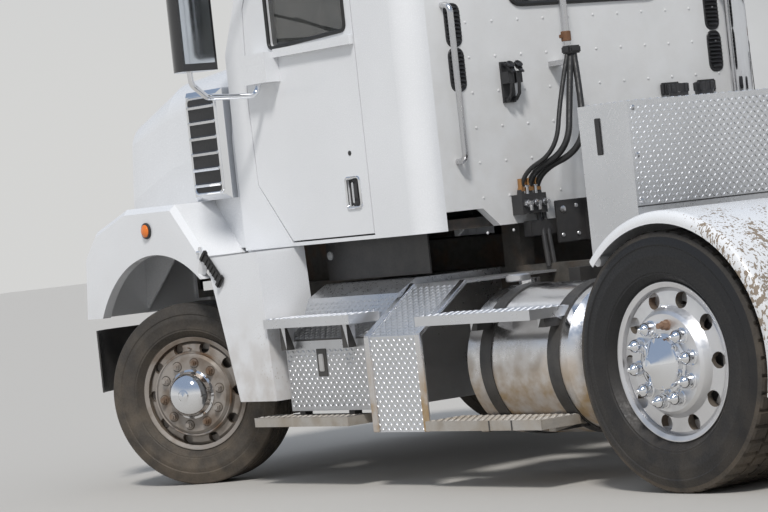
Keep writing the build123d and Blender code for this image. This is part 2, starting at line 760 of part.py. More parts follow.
with BuildPart() as cab_floor:
    add(cab_shell.part)
    block(*panels["cab_floor"], mode=Mode.INTERSECT)
    # Rebate behind each door's lower edge
    for side in (-1, 1):
        low_y, high_y = sorted((side * (side_inner - 9), side * (side_inner + 9)))
        block((x_at(door_rear_station - door_gap), low_y, door_bottom - door_gap),
              (x_at(door_foot_station + 40), high_y, cab_bottom + cab_wall + 9), Mode.SUBTRACT)
    # Mounts down to the frame
    for station in (1700, 2700):
        for side in (-1, 1):
            y = side * (rail_y - 40)
            block((x_at(station), y - 35, rail_top), (x_at(station) + 120, y + 35, cab_bottom + 1))
save(cab_floor, "cab_floor")

with BuildPart() as cab_rear_wall:
    add(cab_shell.part)
    block(*panels["cab_rear_wall"], mode=Mode.INTERSECT)
    with BuildSketch(Plane.YZ.offset(rear_x - 20)) as hole:
        middle = (rear_window_low + rear_window_high) / 2
        with Locations((0, middle)):
            RectangleRounded(2 * rear_window_half, rear_window_high - rear_window_low, 70)
    extrude(hole.sketch, amount=100, mode=Mode.SUBTRACT)
    # Raised edge over the frame at each side
    for side in (-1, 1):
        with BuildSketch(Plane.YZ.offset(rear_x - 20)) as notch:
            with BuildLine():
                Polyline((side * (wall_half + 5), cab_bottom - 10), (side * (wall_half + 5), wall_notch_z),
                         (side * 690, wall_notch_z), (side * 605, cab_bottom), (side * 600, cab_bottom - 10),
                         close=True)
            make_face()
        extrude(notch.sketch, amount=100, mode=Mode.SUBTRACT)
save(cab_rear_wall, "cab_rear_wall")


def screen_plane(side):
    """Plane of one windscreen half, its x along the base towards the middle."""
    base = Vector(front_x, side * cab_half_width, screen_base_z)
    across = Vector(cowl_v, -side * cab_half_width, 0).normalized()
    up = Vector(-screen_lean, 0, 1)
    normal = across.cross(up).normalized()
    normal = normal if normal.X > 0 else normal * -1
    return Plane(origin=base, x_dir=across, z_dir=normal)


def pane(side, behind, margin, depth, mode=Mode.ADD):
    """Windscreen pane outline, shrunk by margin, some way behind the outer face."""
    plane = screen_plane(side).offset(-behind)
    flip = 1 if plane.y_dir.Z > 0 else -1
    with BuildSketch(plane) as outline:
        with BuildLine():
            Polyline((90 + margin, flip * (60 + margin)), (960 - margin, flip * (60 + margin)),
                     (930 - margin, flip * (640 - margin)), (140 + margin, flip * (640 - margin)), close=True)
        make_face()
        fillet(outline.vertices(), 45 - margin)
    extrude(outline.sketch, amount=depth, both=True, mode=mode)


with BuildPart() as cab_front:
    add(cab_shell.part)
    block(*panels["cab_front"], mode=Mode.INTERSECT)
    for side in (-1, 1):
        pane(side, 0, 0, 90, Mode.SUBTRACT)
save(cab_front, "cab_front")

with BuildPart() as cab_glass:
    for side in (-1, 1):
        pane(side, cab_wall / 2, seat_gap, glass_thickness / 2)
    with BuildSketch(Plane.YZ.offset(rear_x + 15)) as rear_pane:
        with Locations((0, middle)):
            RectangleRounded(2 * (rear_window_half - seat_gap), rear_window_high - rear_window_low - 2 * seat_gap, 69)
    extrude(rear_pane.sketch, amount=glass_thickness)
save(cab_glass, "cab_glass")

# Doors: slab with a window opening, hinged at the front edge
window_outline = [
    (2025, belt_z + 60),
    (2592, belt_z + 38),
    (2592, 2240),
    (2500, window_top),
    (2025, window_top),
]
mount_rear_station = 2535
handle_station = 2085
handle_z = 1250
for name, side in (("left", 1), ("right", -1)):
    with BuildPart() as door:
        side_slab(door_outline(0), side_inner, cab_half_width)
        side_slab(window_outline, side_inner - 10, cab_half_width + 10, 30, mode=Mode.SUBTRACT)
        # Belt rail from the mirror mount back to the rear edge
        block((x_at(door_rear_station), cab_half_width, belt_z - 5), (x_at(mount_rear_station) - seat_gap, cab_half_width + 26, belt_z + 32))
        # Recess of the paddle latch
        block((x_at(handle_station) - 45, cab_half_width - 14, handle_z - 60),
              (x_at(handle_station) + 45, cab_half_width + 1, handle_z + 60), Mode.SUBTRACT)
        if side < 0:
            mirror(about=Plane.XZ, mode=Mode.REPLACE)
    save(door, f"door_{name}")
    with BuildPart() as door_glass:
        side_slab(window_outline, side_inner + 18, side_inner + 18 + glass_thickness, 30, seat_gap)
        if side < 0:
            mirror(about=Plane.XZ, mode=Mode.REPLACE)
    save(door_glass, f"door_glass_{name}")
    with BuildPart() as mirror_head:
        # Mount on the door, tube arm and the tall head
        skin_y = cab_half_width + seat_gap
        block((x_at(mount_rear_station), skin_y, belt_z - 110), (x_at(2720), cab_half_width + 75, belt_z + 22))
        bent_tube([(x_at(2640), cab_half_width + 45, belt_z - 100), (x_at(2640), cab_half_width + 60, belt_z - 160),
                   (x_at(2690), 1290, belt_z - 150), (x_at(2690), 1365, belt_z - 90), (x_at(2690), 1375, belt_z + 10)],
                  40, 13)
        bent_tube([(x_at(2690), 1375, belt_z + 500), (x_at(2690), 1375, belt_z + 565),
                   (x_at(2575), 1100, belt_z + 515), (x_at(2575), skin_y, belt_z + 515)], 40, 13)
        with BuildSketch(Plane.XY.offset(belt_z - 35)) as head:
            with BuildLine():
                Line((x_at(2600), 1280), (x_at(2600), 1460))
                ThreePointArc((x_at(2600), 1460), (x_at(2735), 1372), (x_at(2600), 1280))
            make_face()
        extrude(head.sketch, amount=560)
        if side < 0:
            mirror(about=Plane.XZ, mode=Mode.REPLACE)
    save(mirror_head, f"mirror_{name}")

# Interior: dashboard, steering wheel and two seats
with BuildPart() as dashboard:
    with BuildSketch(Plane.XZ.offset(-(side_inner - 12))) as dash_side:
        with BuildLine():
            Polyline((x_at(2540), 1560), (x_at(2520), 1760), (x_at(2620), 1895), (x_at(2850), 1880),
                     (x_at(2850), cab_bottom + cab_wall), (x_at(2760), cab_bottom + cab_wall), (x_at(2700), 1560),
                     close=True)
        make_face()
    extrude(dash_side.sketch, amount=2 * (side_inner - 12))
    # Boss that carries the steering column
    wheel_x, wheel_y, wheel_z = x_at(2360), 430, 1900
    column = Vector(0.5, 0, -0.866)
    column_length = 260
    column_end = Vector(wheel_x, wheel_y, wheel_z) + column * (column_length + seat_gap)
    rod(column_end, column_end + column * 90, 38)
save(dashboard, "dashboard")
with BuildPart() as steering_wheel:
    rim_plane = Plane(origin=(wheel_x, wheel_y, wheel_z), x_dir=(0, 1, 0), z_dir=-column)
    with BuildSketch(Plane(origin=(wheel_x, wheel_y + 225, wheel_z), x_dir=(0, 1, 0), z_dir=rim_plane.y_dir)) as ring:
        Circle(15)
    revolve(ring.sketch, axis=Axis((wheel_x, wheel_y, wheel_z), -column))
    with Locations(rim_plane.location):
        Box(440, 44, 16)
        Cylinder(45, 40)
    rod((wheel_x, wheel_y, wheel_z), Vector(wheel_x, wheel_y, wheel_z) + column * column_length, 30)
save(steering_wheel, "steering_wheel")
with BuildPart() as seats:
    for y in (-430, 430):
        floor_z = cab_bottom + cab_wall
        block((x_at(1780), y - 190, floor_z), (x_at(2140), y + 190, floor_z + 250))
        with Locations((x_at(1970), y, floor_z + 320)):
            Box(500, 500, 140)
        with Locations(Location((x_at(1800), y, floor_z + 650), (0, -8, 0))):
            Box(130, 480, 660)
save(seats, "seats")


# Hood: one tilting shell with both front fenders
hood_rows = (
    # station, half width, low z, waist z, shoulder z, top z
    (cowl_station, hood_rear_half, hood_low, 1560, 1800, 1905),
    (3650, 905, hood_low, 1450, 1690, 1868),
    (hood_nose_station, hood_nose_half, 790, 1330, 1600, 1715),
)
nose_opening_half = 560
nose_opening_low = 830
nose_opening_high = 1560


def hood_loft(inset):
    """Hood envelope through its sections, each moved inwards by inset."""
    sections = []
    for station, half, low, waist, shoulder, top in hood_rows:
        end_step = inset if station == hood_nose_station else -inset
        edge = half - inset
        low_z = low - 3 * inset
        with BuildSketch(Plane.YZ.offset(x_at(station) - end_step)) as section:
            with BuildLine():
                Polyline((-edge + 25, shoulder), (-edge, waist), (-edge, low_z), (edge, low_z), (edge, waist),
                         (edge - 25, shoulder))
                ThreePointArc((edge - 25, shoulder), (edge - 85, (shoulder + top) / 2 + 32), (edge - 215, top - inset))
                ThreePointArc((edge - 215, top - inset), (0, top + 28 - inset), (-edge + 215, top - inset))
                ThreePointArc((-edge + 215, top - inset), (-edge + 85, (shoulder + top) / 2 + 32),
                              (-edge + 25, shoulder))
            make_face()
        sections.append(section.sketch)
    with BuildPart() as envelope:
        loft(sections, ruled=True)
    return envelope.part


def fender_outline(inset):
    """Fender side outline in station and height, moved inwards by inset."""
    return [
        (2990 + inset, 1040 - inset),
        (3215 + inset, fender_crown - 2 - inset),
        (3620, fender_crown - inset),
        (3900 - inset / 2, 1200 - inset),
        (4010 - inset, 1087 - inset / 2),
        (4054 - inset, 792 - 20 * inset),
        (3100, 792 - 20 * inset),
    ]


with BuildPart() as fender_pair:
    side_slab(fender_outline(0), fender_inner, fender_half)
    upper = fender_pair.edges().filter_by(lambda e: abs(e.center().Y - fender_half) < 1 and e.center().Z > 800)
    chamfer(upper, 26)
    with BuildPart(mode=Mode.PRIVATE) as hollow:
        side_slab(fender_outline(fender_skin), fender_inner - 200, fender_half - fender_skin)
        under = hollow.edges().filter_by(
            lambda e: abs(e.center().Y - fender_half + fender_skin) < 1 and e.center().Z > 640)
        chamfer(under, 26)
    add(hollow.part, mode=Mode.SUBTRACT)
    # Wheel arch with a turned lip
    arch_x = x_at(arch_station)
    with BuildSketch(Plane.XZ.offset(-fender_half)) as lip:
        with Locations((arch_x, hub_z)):
            Circle(arch_radius + 14)
            Circle(arch_radius, mode=Mode.SUBTRACT)
        with Locations((arch_x, hub_z + 302)):
            Rectangle(1400, 1400, align=(Align.CENTER, Align.MIN), mode=Mode.INTERSECT)
    extrude(lip.sketch, amount=45)
    rod((arch_x, fender_inner - 50, hub_z), (arch_x, fender_half + 50, hub_z), arch_radius, Mode.SUBTRACT)
    block((x_at(2800), fender_inner - 50, 700), (arch_x - 335, fender_half + 50, 940), Mode.SUBTRACT)
    both_sides()

hinge_x = x_at(4040)
hinge_z = 765
hinge_y = 470
with BuildPart() as hood:
    add(hood_loft(0))
    add(hood_loft(hood_skin), mode=Mode.SUBTRACT)
    add(fender_pair.part)
    add(cab_solid(-hood_gap), mode=Mode.SUBTRACT)
    block((x_at(hood_nose_station) - 60, -nose_opening_half, nose_opening_low),
          (x_at(hood_nose_station) + 20, nose_opening_half, nose_opening_high), Mode.SUBTRACT)
    # Arms down to the hinge pins
    for side in (-1, 1):
        low_y, high_y = sorted((side * hinge_y, side * (hinge_y + 24)))
        block((hinge_x - 22, low_y, hinge_z), (hinge_x + 10, high_y, nose_opening_low - 2))
        rod((hinge_x, low_y, hinge_z), (hinge_x, high_y, hinge_z), 26)
        rod((hinge_x, low_y - 1, hinge_z), (hinge_x, high_y + 1, hinge_z), 14.05, Mode.SUBTRACT)
save(hood, "hood")

with BuildPart() as grille:
    nose_x = x_at(hood_nose_station)
    edge = nose_opening_half - seat_gap
    block((nose_x - 30, -edge, nose_opening_low + seat_gap), (nose_x + 6, edge, nose_opening_high - seat_gap))
    block((nose_x - 40, -edge + 32, nose_opening_low + 32), (nose_x + 10, edge - 32, nose_opening_high - 32), Mode.SUBTRACT)
    rows = 11
    for row in range(rows):
        z = nose_opening_low + 32 + (row + 1) * (nose_opening_high - nose_opening_low - 64) / (rows + 1)
        block((nose_x - 22, -edge + 20, z - 11), (nose_x, edge - 20, z + 11))
    for y in (-180, 180):
        block((nose_x - 28, y - 9, nose_opening_low + 20), (nose_x - 16, y + 9, nose_opening_high - 20))
save(grille, "grille")

with BuildPart() as headlamps:
    side_slab([(4012.5, 1072), (4047, 840), (4060, 842), (4030, 1080)], 885, 1150)
    both_sides()
save(headlamps, "headlamps")

with BuildPart() as hood_intakes:
    block((x_at(2968), 900, 1290), (x_at(3255), 1042, 1790))
    chamfer(hood_intakes.edges().filter_by(lambda e: abs(e.center().Y - 1042) < 1), 22)
    with Locations((0, seat_gap, 0)):
        add(hood_loft(0), mode=Mode.SUBTRACT)
    both_sides()
save(hood_intakes, "hood_intakes")

# Cowl flares: panels behind the front wheels, with the skirts under the cab
flare_outline = [(2972, 1030), (2818, 381), (2540, 381), (2575, 1040)]
with BuildPart() as cowl_flares:
    side_slab(flare_outline, cab_half_width - 60, fender_half)
    side_slab([(3000, 1022), (2846, 360), (2550, 360), (2584, 1030)], cab_half_width - 90, fender_half - 8, mode=Mode.SUBTRACT)
    # Liner set back from the front lip, clear of the turned wheel
    side_slab([(2972, 1030), (2818, 381), (2738, 381), (2885, 1030)], fender_half - 58, fender_half - 50)
    side_slab([(2893, 1030), (2746, 381), (2738, 381), (2885, 1030)], cab_half_width - 60, fender_half - 8)
    side_slab([(1800, 874), (2530, 874), (2530, cab_bottom - seat_gap), (1800, cab_bottom - seat_gap)],
              fender_inner - 4, fender_inner + 4)
    side_slab([(2572, 1012), (2950, 1012), (2968, cab_bottom - seat_gap), (2576, cab_bottom - seat_gap)],
              cab_half_width - 60, cab_half_width - 30)
    both_sides()
save(cowl_flares, "cowl_flares")

# Grab handles behind the cab corners
with BuildPart() as grab_handles:
    wall_x = x_at(back_wall_station) - seat_gap
    bent_tube([(wall_x, 800, 1330), (wall_x - 55, 800, 1330), (wall_x - 55, 800, 1990), (wall_x, 800, 1990)], 35, 13)
    both_sides()
save(grab_handles, "grab_handles")

# Coupling holder, junction block and hose post on the rear wall
with BuildPart() as hose_gear:
    wall_x = x_at(back_wall_station) - seat_gap
    # Post with its foot and top stay
    rod((x_at(1505), 215, 1700), (x_at(1505), 215, 2360), 17)
    block((x_at(1490), 185, 1700), (wall_x, 245, 1722))
    block((x_at(1490), 195, 2330), (wall_x, 235, 2350))
    # Coupling holder
    block((wall_x - 12, 455, 1560), (wall_x, 520, 1735))
    block((wall_x - 60, 448, 1640), (wall_x - 12, 482, 1690))
    block((wall_x - 60, 492, 1640), (wall_x - 12, 526, 1690))
    # Junction block
    block((wall_x - 70, 395, 1080), (wall_x, 530, 1165))
save(hose_gear, "hose_gear")

# Air and cable lines from the post down to the junction block
line_rows = (
    # end y on the junction block, side step at the post, outward belly, radius
    (420, 0, 150, 14),
    (462, 40, 95, 14),
    (504, 75, 60, 10),
)
with BuildPart() as air_lines:
    for end_y, step, belly, radius in line_rows:
        top_x = x_at(1505) - 22 - radius
        bent_tube([(top_x, 215 + step / 3, 1760), (top_x - belly / 2, 240 + step, 1560), (top_x - belly, 300 + step, 1330),
                   (wall_x - 40, end_y, 1250), (wall_x - 40, end_y, 1165.3)], 42, radius)
save(air_lines, "air_lines")
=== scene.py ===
"""Looks of the tractor unit: materials, wheels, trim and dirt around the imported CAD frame.

Metres. +X forward, +Y left, +Z up. Stations are measured forward from the
first drive axle, as in the part's source.
"""
import math

import bmesh
import bpy
from mathutils import Matrix, Vector


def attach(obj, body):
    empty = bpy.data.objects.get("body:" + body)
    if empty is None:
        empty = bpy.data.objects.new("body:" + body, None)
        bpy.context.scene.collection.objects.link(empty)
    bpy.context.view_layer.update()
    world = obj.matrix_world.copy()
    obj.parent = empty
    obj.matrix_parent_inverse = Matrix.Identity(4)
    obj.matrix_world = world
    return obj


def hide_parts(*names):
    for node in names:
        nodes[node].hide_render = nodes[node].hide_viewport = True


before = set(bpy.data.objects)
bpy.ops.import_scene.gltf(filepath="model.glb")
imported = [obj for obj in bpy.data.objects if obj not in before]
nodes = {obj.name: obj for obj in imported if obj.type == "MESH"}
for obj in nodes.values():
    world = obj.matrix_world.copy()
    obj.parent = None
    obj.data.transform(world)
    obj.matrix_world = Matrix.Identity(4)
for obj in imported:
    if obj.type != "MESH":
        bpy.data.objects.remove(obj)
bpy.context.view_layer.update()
ROOT = "chassis_and_cab"
HOOD = "hood_assembly"
SIDES = (("left", 1), ("right", -1))

# Places and ways that several pieces share
ORIGIN_STATION = 1.025
FRONT_AXLE = 3.43
AXLE_SPACING = 1.32
REAR_WALL = 1.606
PARKED_STEER = math.radians(30)
STUD_CIRCLE = 0.1429
DISC_FACE = 0.0302
LINE_ENDS = (0.42, 0.462, 0.504)
BACK, IN, UP = (-1, 0, 0), (0, -1, 0), (0, 0, 1)


def at(station, y, z):
    """Point in the row frame from a station, all in metres."""
    return Vector((station - ORIGIN_STATION, y, z))


# Shader helpers

def node(tree, kind, inputs=(), **settings):
    """Shader node with its inputs linked or set."""
    made = tree.nodes.new(kind)
    for key, value in settings.items():
        setattr(made, key, value)
    for key, value in dict(inputs).items():
        if isinstance(value, bpy.types.NodeSocket):
            tree.links.new(value, made.inputs[key])
        else:
            made.inputs[key].default_value = value
    return made


def calc(tree, operation, a, b=0.0, clamp=False):
    return node(tree, "ShaderNodeMath", {0: a, 1: b}, operation=operation, use_clamp=clamp).outputs[0]


def spread(tree, value, low, high, to_low=0.0, to_high=1.0):
    """Value taken from low..high to to_low..to_high, held at the ends."""
    inputs = {"Value": value, "From Min": low, "From Max": high, "To Min": to_low, "To Max": to_high}
    return node(tree, "ShaderNodeMapRange", inputs, interpolation_type="SMOOTHSTEP").outputs[0]


def stretched(tree, place, scale):
    return node(tree, "ShaderNodeMapping", {"Vector": place, "Scale": scale}).outputs[0]


def noise(tree, place, scale, detail=4.0):
    return node(tree, "ShaderNodeTexNoise", {"Vector": place, "Scale": scale, "Detail": detail}).outputs[0]


def blend_colour(tree, factor, a, b, **settings):
    made = node(tree, "ShaderNodeMix", {0: factor, 6: a, 7: b}, data_type="RGBA", **settings)
    return made.outputs[2]


def splashed_spots(tree, place, reach, scale, most):
    """Mask of round spots in loose groups."""
    cells = node(tree, "ShaderNodeTexVoronoi", {"Vector": place, "Scale": scale, "Randomness": 1.0})
    splash = spread(tree, cells.outputs["Distance"], 0.34, 0.2)
    gate = spread(tree, noise(tree, place, 4.2, 6), 0.5, 0.66)
    return calc(tree, "MULTIPLY", calc(tree, "MULTIPLY", splash, gate), calc(tree, "MULTIPLY", reach, most))


def thrown_flecks(tree, place, forward):
    """Masks of mud thrown up behind each drive wheel, fine and coarse."""
    between_axles = -0.72
    station = calc(tree, "ADD", forward, ORIGIN_STATION)
    second = calc(tree, "LESS_THAN", station, between_axles)
    along = calc(tree, "ADD", station, calc(tree, "MULTIPLY", second, AXLE_SPACING))
    thrown = spread(tree, along, 0.02, -0.5)
    drawn = stretched(tree, place, (1.0, 0.75, 0.5))
    uneven = calc(tree, "MULTIPLY", calc(tree, "SUBTRACT", 0.5, noise(tree, place, 6.0, 3)), 0.45)
    masks = []
    for scale, few, many in ((125.0, 0.7, 0.585), (52.0, 0.71, 0.6)):
        limit = calc(tree, "ADD", spread(tree, thrown, 0, 1, few, many), uneven)
        flecks = calc(tree, "GREATER_THAN", noise(tree, drawn, scale, 3), limit)
        masks.append(calc(tree, "MULTIPLY", flecks, spread(tree, thrown, 0.02, 0.2, 0, 0.85)))
    return masks


MUD = (0.3, 0.22, 0.14, 1)
DUST = (0.42, 0.38, 0.32, 1)
PLATE_DUST = (0.3, 0.26, 0.21, 1)


def surface(name, colour, rough, metal=0.0, dirt=DUST, film=(0.3, 1.6, 0.35), spots=0.0, spot_scale=62.0,
            grain=90.0, bump=0.1, shade=0.06, scratch=0.0, coat=0.0, stretch=(1, 1, 1), tint=None,
            behind_wheels=False):
    """Surface with colour drift, stains, splatter and a film of dirt.

    The film is most (its third number) at the first height and thins to nothing at the second.
    """
    material = bpy.data.materials.new(name)
    material.use_nodes = True
    tree = material.node_tree
    shader = tree.nodes["Principled BSDF"]
    place = node(tree, "ShaderNodeTexCoord").outputs["Object"]
    split = node(tree, "ShaderNodeSeparateXYZ", {0: place})
    full_height, clear_height, film_most = film
    reach = spread(tree, split.outputs[2], clear_height, full_height)
    broad = noise(tree, place, 1.9, 5)
    patchy = noise(tree, place, 11.0, 7)
    fine = noise(tree, stretched(tree, place, stretch), grain, 3)
    drift = spread(tree, broad, 0.3, 0.7, 1 - shade, 1 + shade)
    grey = node(tree, "ShaderNodeCombineXYZ", {0: drift, 1: drift, 2: drift}).outputs[0]
    tone = blend_colour(tree, 1, (*colour, 1), grey, blend_type="MULTIPLY")
    if scratch:
        streaks = noise(tree, stretched(tree, place, (9, 9, 130)), 4, 2)
        tone = blend_colour(tree, spread(tree, streaks, 0.6, 0.75, 0, scratch), tone,
                            (*[0.55 * channel for channel in colour], 1))
    uneven = calc(tree, "MULTIPLY", reach, spread(tree, patchy, 0.3, 0.68, 0.25, 1.0))
    mask = calc(tree, "MULTIPLY", uneven, film_most)
    if tint:
        stain = spread(tree, noise(tree, place, 7.5, 8), 0.46, 0.66)
        tone = blend_colour(tree, stain, tone, (*tint, 1))
    splatter = [splashed_spots(tree, place, reach, spot_scale, spots)] if spots else []
    if behind_wheels:
        splatter += thrown_flecks(tree, place, split.outputs[0])
    for layer in splatter:
        mask = calc(tree, "MAXIMUM", mask, layer)
    tone = blend_colour(tree, mask, tone, dirt)
    tree.links.new(tone, shader.inputs["Base Color"])
    gloss = spread(tree, fine, 0.3, 0.7, max(0.02, rough * 0.8), rough * 1.2)
    gloss = calc(tree, "ADD", gloss, calc(tree, "MULTIPLY", mask, 0.75 - rough * 0.6), True)
    tree.links.new(gloss, shader.inputs["Roughness"])
    if metal:
        bare = calc(tree, "MULTIPLY", calc(tree, "SUBTRACT", 1.0, mask, True), metal)
        tree.links.new(bare, shader.inputs["Metallic"])
    if coat:
        shader.inputs["Coat Weight"].default_value = coat
        shader.inputs["Coat Roughness"].default_value = 0.08
    if bump:
        relief = calc(tree, "ADD", calc(tree, "MULTIPLY", fine, 0.5), calc(tree, "MULTIPLY", mask, 0.8))
        lifted = node(tree, "ShaderNodeBump", {"Height": relief, "Strength": bump, "Distance": 0.004})
        tree.links.new(lifted.outputs[0], shader.inputs["Normal"])
    return material


def glass(name, colour, rough, alpha):
    """Tinted pane with a film of dust."""
    material = surface(name, colour, rough, film=(0.5, 3.2, 0.3), bump=0.02)
    shader = material.node_tree.nodes["Principled BSDF"]
    shader.inputs["IOR"].default_value = 1.5
    shader.inputs["Alpha"].default_value = alpha
    return material


def lamp_lens(name, colour):
    material = surface(name, colour, 0.12, film=(0.3, 1.6, 0.2), bump=0.05, grain=260)
    material.node_tree.nodes["Principled BSDF"].inputs["Coat Weight"].default_value = 0.6
    return material


WHITE = (0.79, 0.805, 0.83)
paint = surface("white_paint", WHITE, 0.25, film=(0.3, 1.5, 0.13), spots=0.1, bump=0.012, shade=0.025,
                coat=0.6, grain=260)
flare_paint = surface("flare_paint", WHITE, 0.27, dirt=MUD, film=(0.35, 0.95, 0.42), spots=0.55, bump=0.02,
                      shade=0.03, coat=0.5, grain=260)
splashed_paint = surface("splashed_paint", WHITE, 0.28, dirt=(0.17, 0.108, 0.045, 1),
                         film=(0.45, 1.0, 0.22), spots=0.2, bump=0.05, shade=0.03, coat=0.4, grain=260,
                         behind_wheels=True)
wall_paint = surface("wall_paint", (0.74, 0.75, 0.76), 0.42, film=(0.9, 2.6, 0.2), spots=0.12, bump=0.03,
                     shade=0.05, scratch=0.12)
frame_black = surface("frame_black", (0.028, 0.028, 0.028), 0.5, film=(0.2, 1.3, 0.5), spots=0.5, bump=0.4,
                      tint=(0.06, 0.045, 0.035))
black_metal = surface("black_metal", (0.025, 0.025, 0.027), 0.38, film=(0.3, 1.6, 0.1), bump=0.12)
black_gloss = surface("black_gloss", (0.018, 0.018, 0.02), 0.14, film=(0.3, 1.6, 0.12), bump=0.03, coat=0.5)
bright_chrome = surface("bright_chrome", (0.84, 0.85, 0.87), 0.05, 1.0, film=(0.0, 1.0, 0.06), bump=0)
polished = surface("polished_aluminium", (0.8, 0.8, 0.81), 0.17, 1.0, dirt=(0.36, 0.245, 0.12, 1),
                   film=(0.34, 0.66, 1.0), spots=0.7, spot_scale=48, bump=0, scratch=0.1)
wheel_metal = surface("wheel_aluminium", (0.8, 0.8, 0.81), 0.34, 0.9, dirt=PLATE_DUST,
                      film=(-0.1, 1.1, 0.14), bump=0, grain=40)
dull_wheel = surface("dull_wheel", (0.4, 0.37, 0.34), 0.42, 0.6, dirt=(0.17, 0.13, 0.1, 1),
                     film=(0.1, 1.5, 0.4), spots=0.4, spot_scale=80, bump=0.05, grain=70,
                     tint=(0.23, 0.19, 0.155))
tread_plate = surface("tread_plate", (0.62, 0.63, 0.65), 0.3, 0.95, dirt=PLATE_DUST, film=(0.15, 1.2, 0.22),
                      spots=0.15, bump=0)
clean_plate = surface("clean_plate", (0.74, 0.75, 0.77), 0.3, 0.9, dirt=(0.38, 0.36, 0.33, 1),
                      film=(0.6, 1.8, 0.12), bump=0, scratch=0.08)
dusty_plate = surface("dusty_plate", (0.52, 0.5, 0.47), 0.42, 0.6, dirt=(0.36, 0.31, 0.25, 1),
                      film=(0.2, 0.9, 0.55), spots=0.3, bump=0.05, tint=(0.38, 0.34, 0.29))
brass = surface("brass", (0.48, 0.25, 0.1), 0.35, 0.9, film=(0.3, 1.6, 0.2), bump=0.03)
steel = surface("brushed_steel", (0.62, 0.62, 0.63), 0.28, 1.0, film=(0.3, 1.6, 0.25), bump=0,
                stretch=(1, 1, 0.1))
worn_steel = surface("worn_steel", (0.48, 0.45, 0.42), 0.34, 0.9, dirt=(0.17, 0.12, 0.08, 1),
                     film=(0.1, 1.2, 0.5), spots=0.4, bump=0.2, tint=(0.22, 0.14, 0.09))
cast = surface("cast_iron", (0.06, 0.057, 0.053), 0.6, dirt=(0.22, 0.17, 0.12, 1), film=(0.1, 1.2, 0.6),
               spots=0.5, bump=0.7, grain=45, tint=(0.1, 0.06, 0.04))
greasy = surface("greasy_iron", (0.045, 0.04, 0.035), 0.3, 0.6, film=(0.3, 1.6, 0.25), bump=0.5, grain=30,
                 tint=(0.1, 0.065, 0.04))
rust = surface("rusty_iron", (0.17, 0.085, 0.045), 0.8, film=(0.3, 1.6, 0.3), bump=0.7, grain=120,
               shade=0.35)
rubber = surface("black_rubber", (0.022, 0.022, 0.022), 0.5, film=(0.1, 1.2, 0.18), bump=0.25)
tyre_rubber = surface("tyre_rubber", (0.011, 0.011, 0.012), 0.52, dirt=(0.2, 0.165, 0.125, 1),
                      film=(-0.2, 0.8, 0.22), spots=0.1, bump=0.25, grain=130)
dusty_tyre = surface("dusty_tyre", (0.035, 0.032, 0.029), 0.7, dirt=(0.21, 0.165, 0.12, 1),
                     film=(-0.1, 1.1, 0.42), spots=0.15, bump=0.3, grain=110, tint=(0.06, 0.052, 0.043))
trim = surface("grained_trim", (0.06, 0.06, 0.063), 0.55, film=(0.3, 3.0, 0.15), bump=0.35, grain=240)
cloth = surface("woven_cloth", (0.07, 0.07, 0.08), 0.85, film=(0.3, 3.0, 0.15), bump=0.5, grain=420)
looking_glass = surface("looking_glass", (0.62, 0.66, 0.7), 0.03, 1.0, film=(1.0, 3.0, 0.12), bump=0.005)
tinted = glass("tinted_glass", (0.02, 0.026, 0.028), 0.04, 0.42)
clear = glass("lamp_glass", (0.6, 0.63, 0.66), 0.08, 0.6)
red_lens = lamp_lens("red_lens", (0.42, 0.012, 0.01))
amber_lens = lamp_lens("amber_lens", (0.85, 0.2, 0.01))
reflector = surface("lamp_reflector", (0.62, 0.64, 0.66), 0.16, 0.9, film=(0.3, 1.6, 0.12), bump=0.1,
                    grain=150)

NODES_IN = (
    (frame_black, "frame_rails crossmembers front_axle tie_rod suspension fifth_wheel_mount cab_floor"),
    (black_metal, "front_bumper tank_straps hose_gear"),
    (cast, "engine_block knuckle_left knuckle_right drive_axles"),
    (polished, "fuel_tanks"),
    (tread_plate, "side_boxes"),
    (clean_plate, "step_fairings hydraulic_tank"),
    (dusty_plate, "side_steps"),
    (splashed_paint, "rear_fenders"),
    (flare_paint, "cowl_flares"),
    (wall_paint, "cab_rear_wall"),
    (paint, "cab_sides cab_roof cab_front hood door_left door_right"),
    (greasy, "fifth_wheel_plate"),
    (rubber, "mud_flaps air_lines"),
    (bright_chrome, "exhaust_stack grille hood_intakes"),
    (steel, "grab_handles"),
    (reflector, "headlamps"),
    (red_lens, "tail_lamps"),
    (tinted, "cab_glass door_glass_left door_glass_right"),
    (black_gloss, "mirror_left mirror_right"),
    (trim, "dashboard steering_wheel"),
    (cloth, "seats"),
)
MATERIAL_OF = {name: material for material, names in NODES_IN for name in names.split()}
for name, thing in nodes.items():
    chosen = MATERIAL_OF.get(name, tyre_rubber if name.startswith("tyre") else wheel_metal)
    if not thing.material_slots:
        thing.data.materials.append(chosen)
    for place in thing.material_slots:
        place.material = chosen


# Mesh helpers
def new_object(name, data):
    thing = bpy.data.objects.new(name, data)
    bpy.context.collection.objects.link(thing)
    return thing


def place_mesh(name, bm, body, material, sharp=35):
    """Object from a bmesh, riding on a body."""
    mesh = bpy.data.meshes.new(name)
    bmesh.ops.remove_doubles(bm, verts=bm.verts[:], dist=1e-6)
    bmesh.ops.recalc_face_normals(bm, faces=bm.faces[:])
    bm.to_mesh(mesh)
    bm.free()
    mesh.shade_smooth()
    mesh.set_sharp_from_angle(angle=math.radians(sharp))
    mesh.materials.append(material)
    thing = new_object(name, mesh)
    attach(thing, body)
    return thing


def repainted(name, body, materials, pick):
    """Copy of a CAD node that stands for it, each face's material picked by where it lies."""
    mesh = nodes[name].data.copy()
    mesh.name = "shown_" + name
    mesh.materials.clear()
    for material in materials:
        mesh.materials.append(material)
    for face in mesh.polygons:
        face.material_index = pick(Vector(face.center), Vector(face.normal))
    thing = new_object("shown_" + name, mesh)
    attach(thing, body)
    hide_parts(name)
    return thing


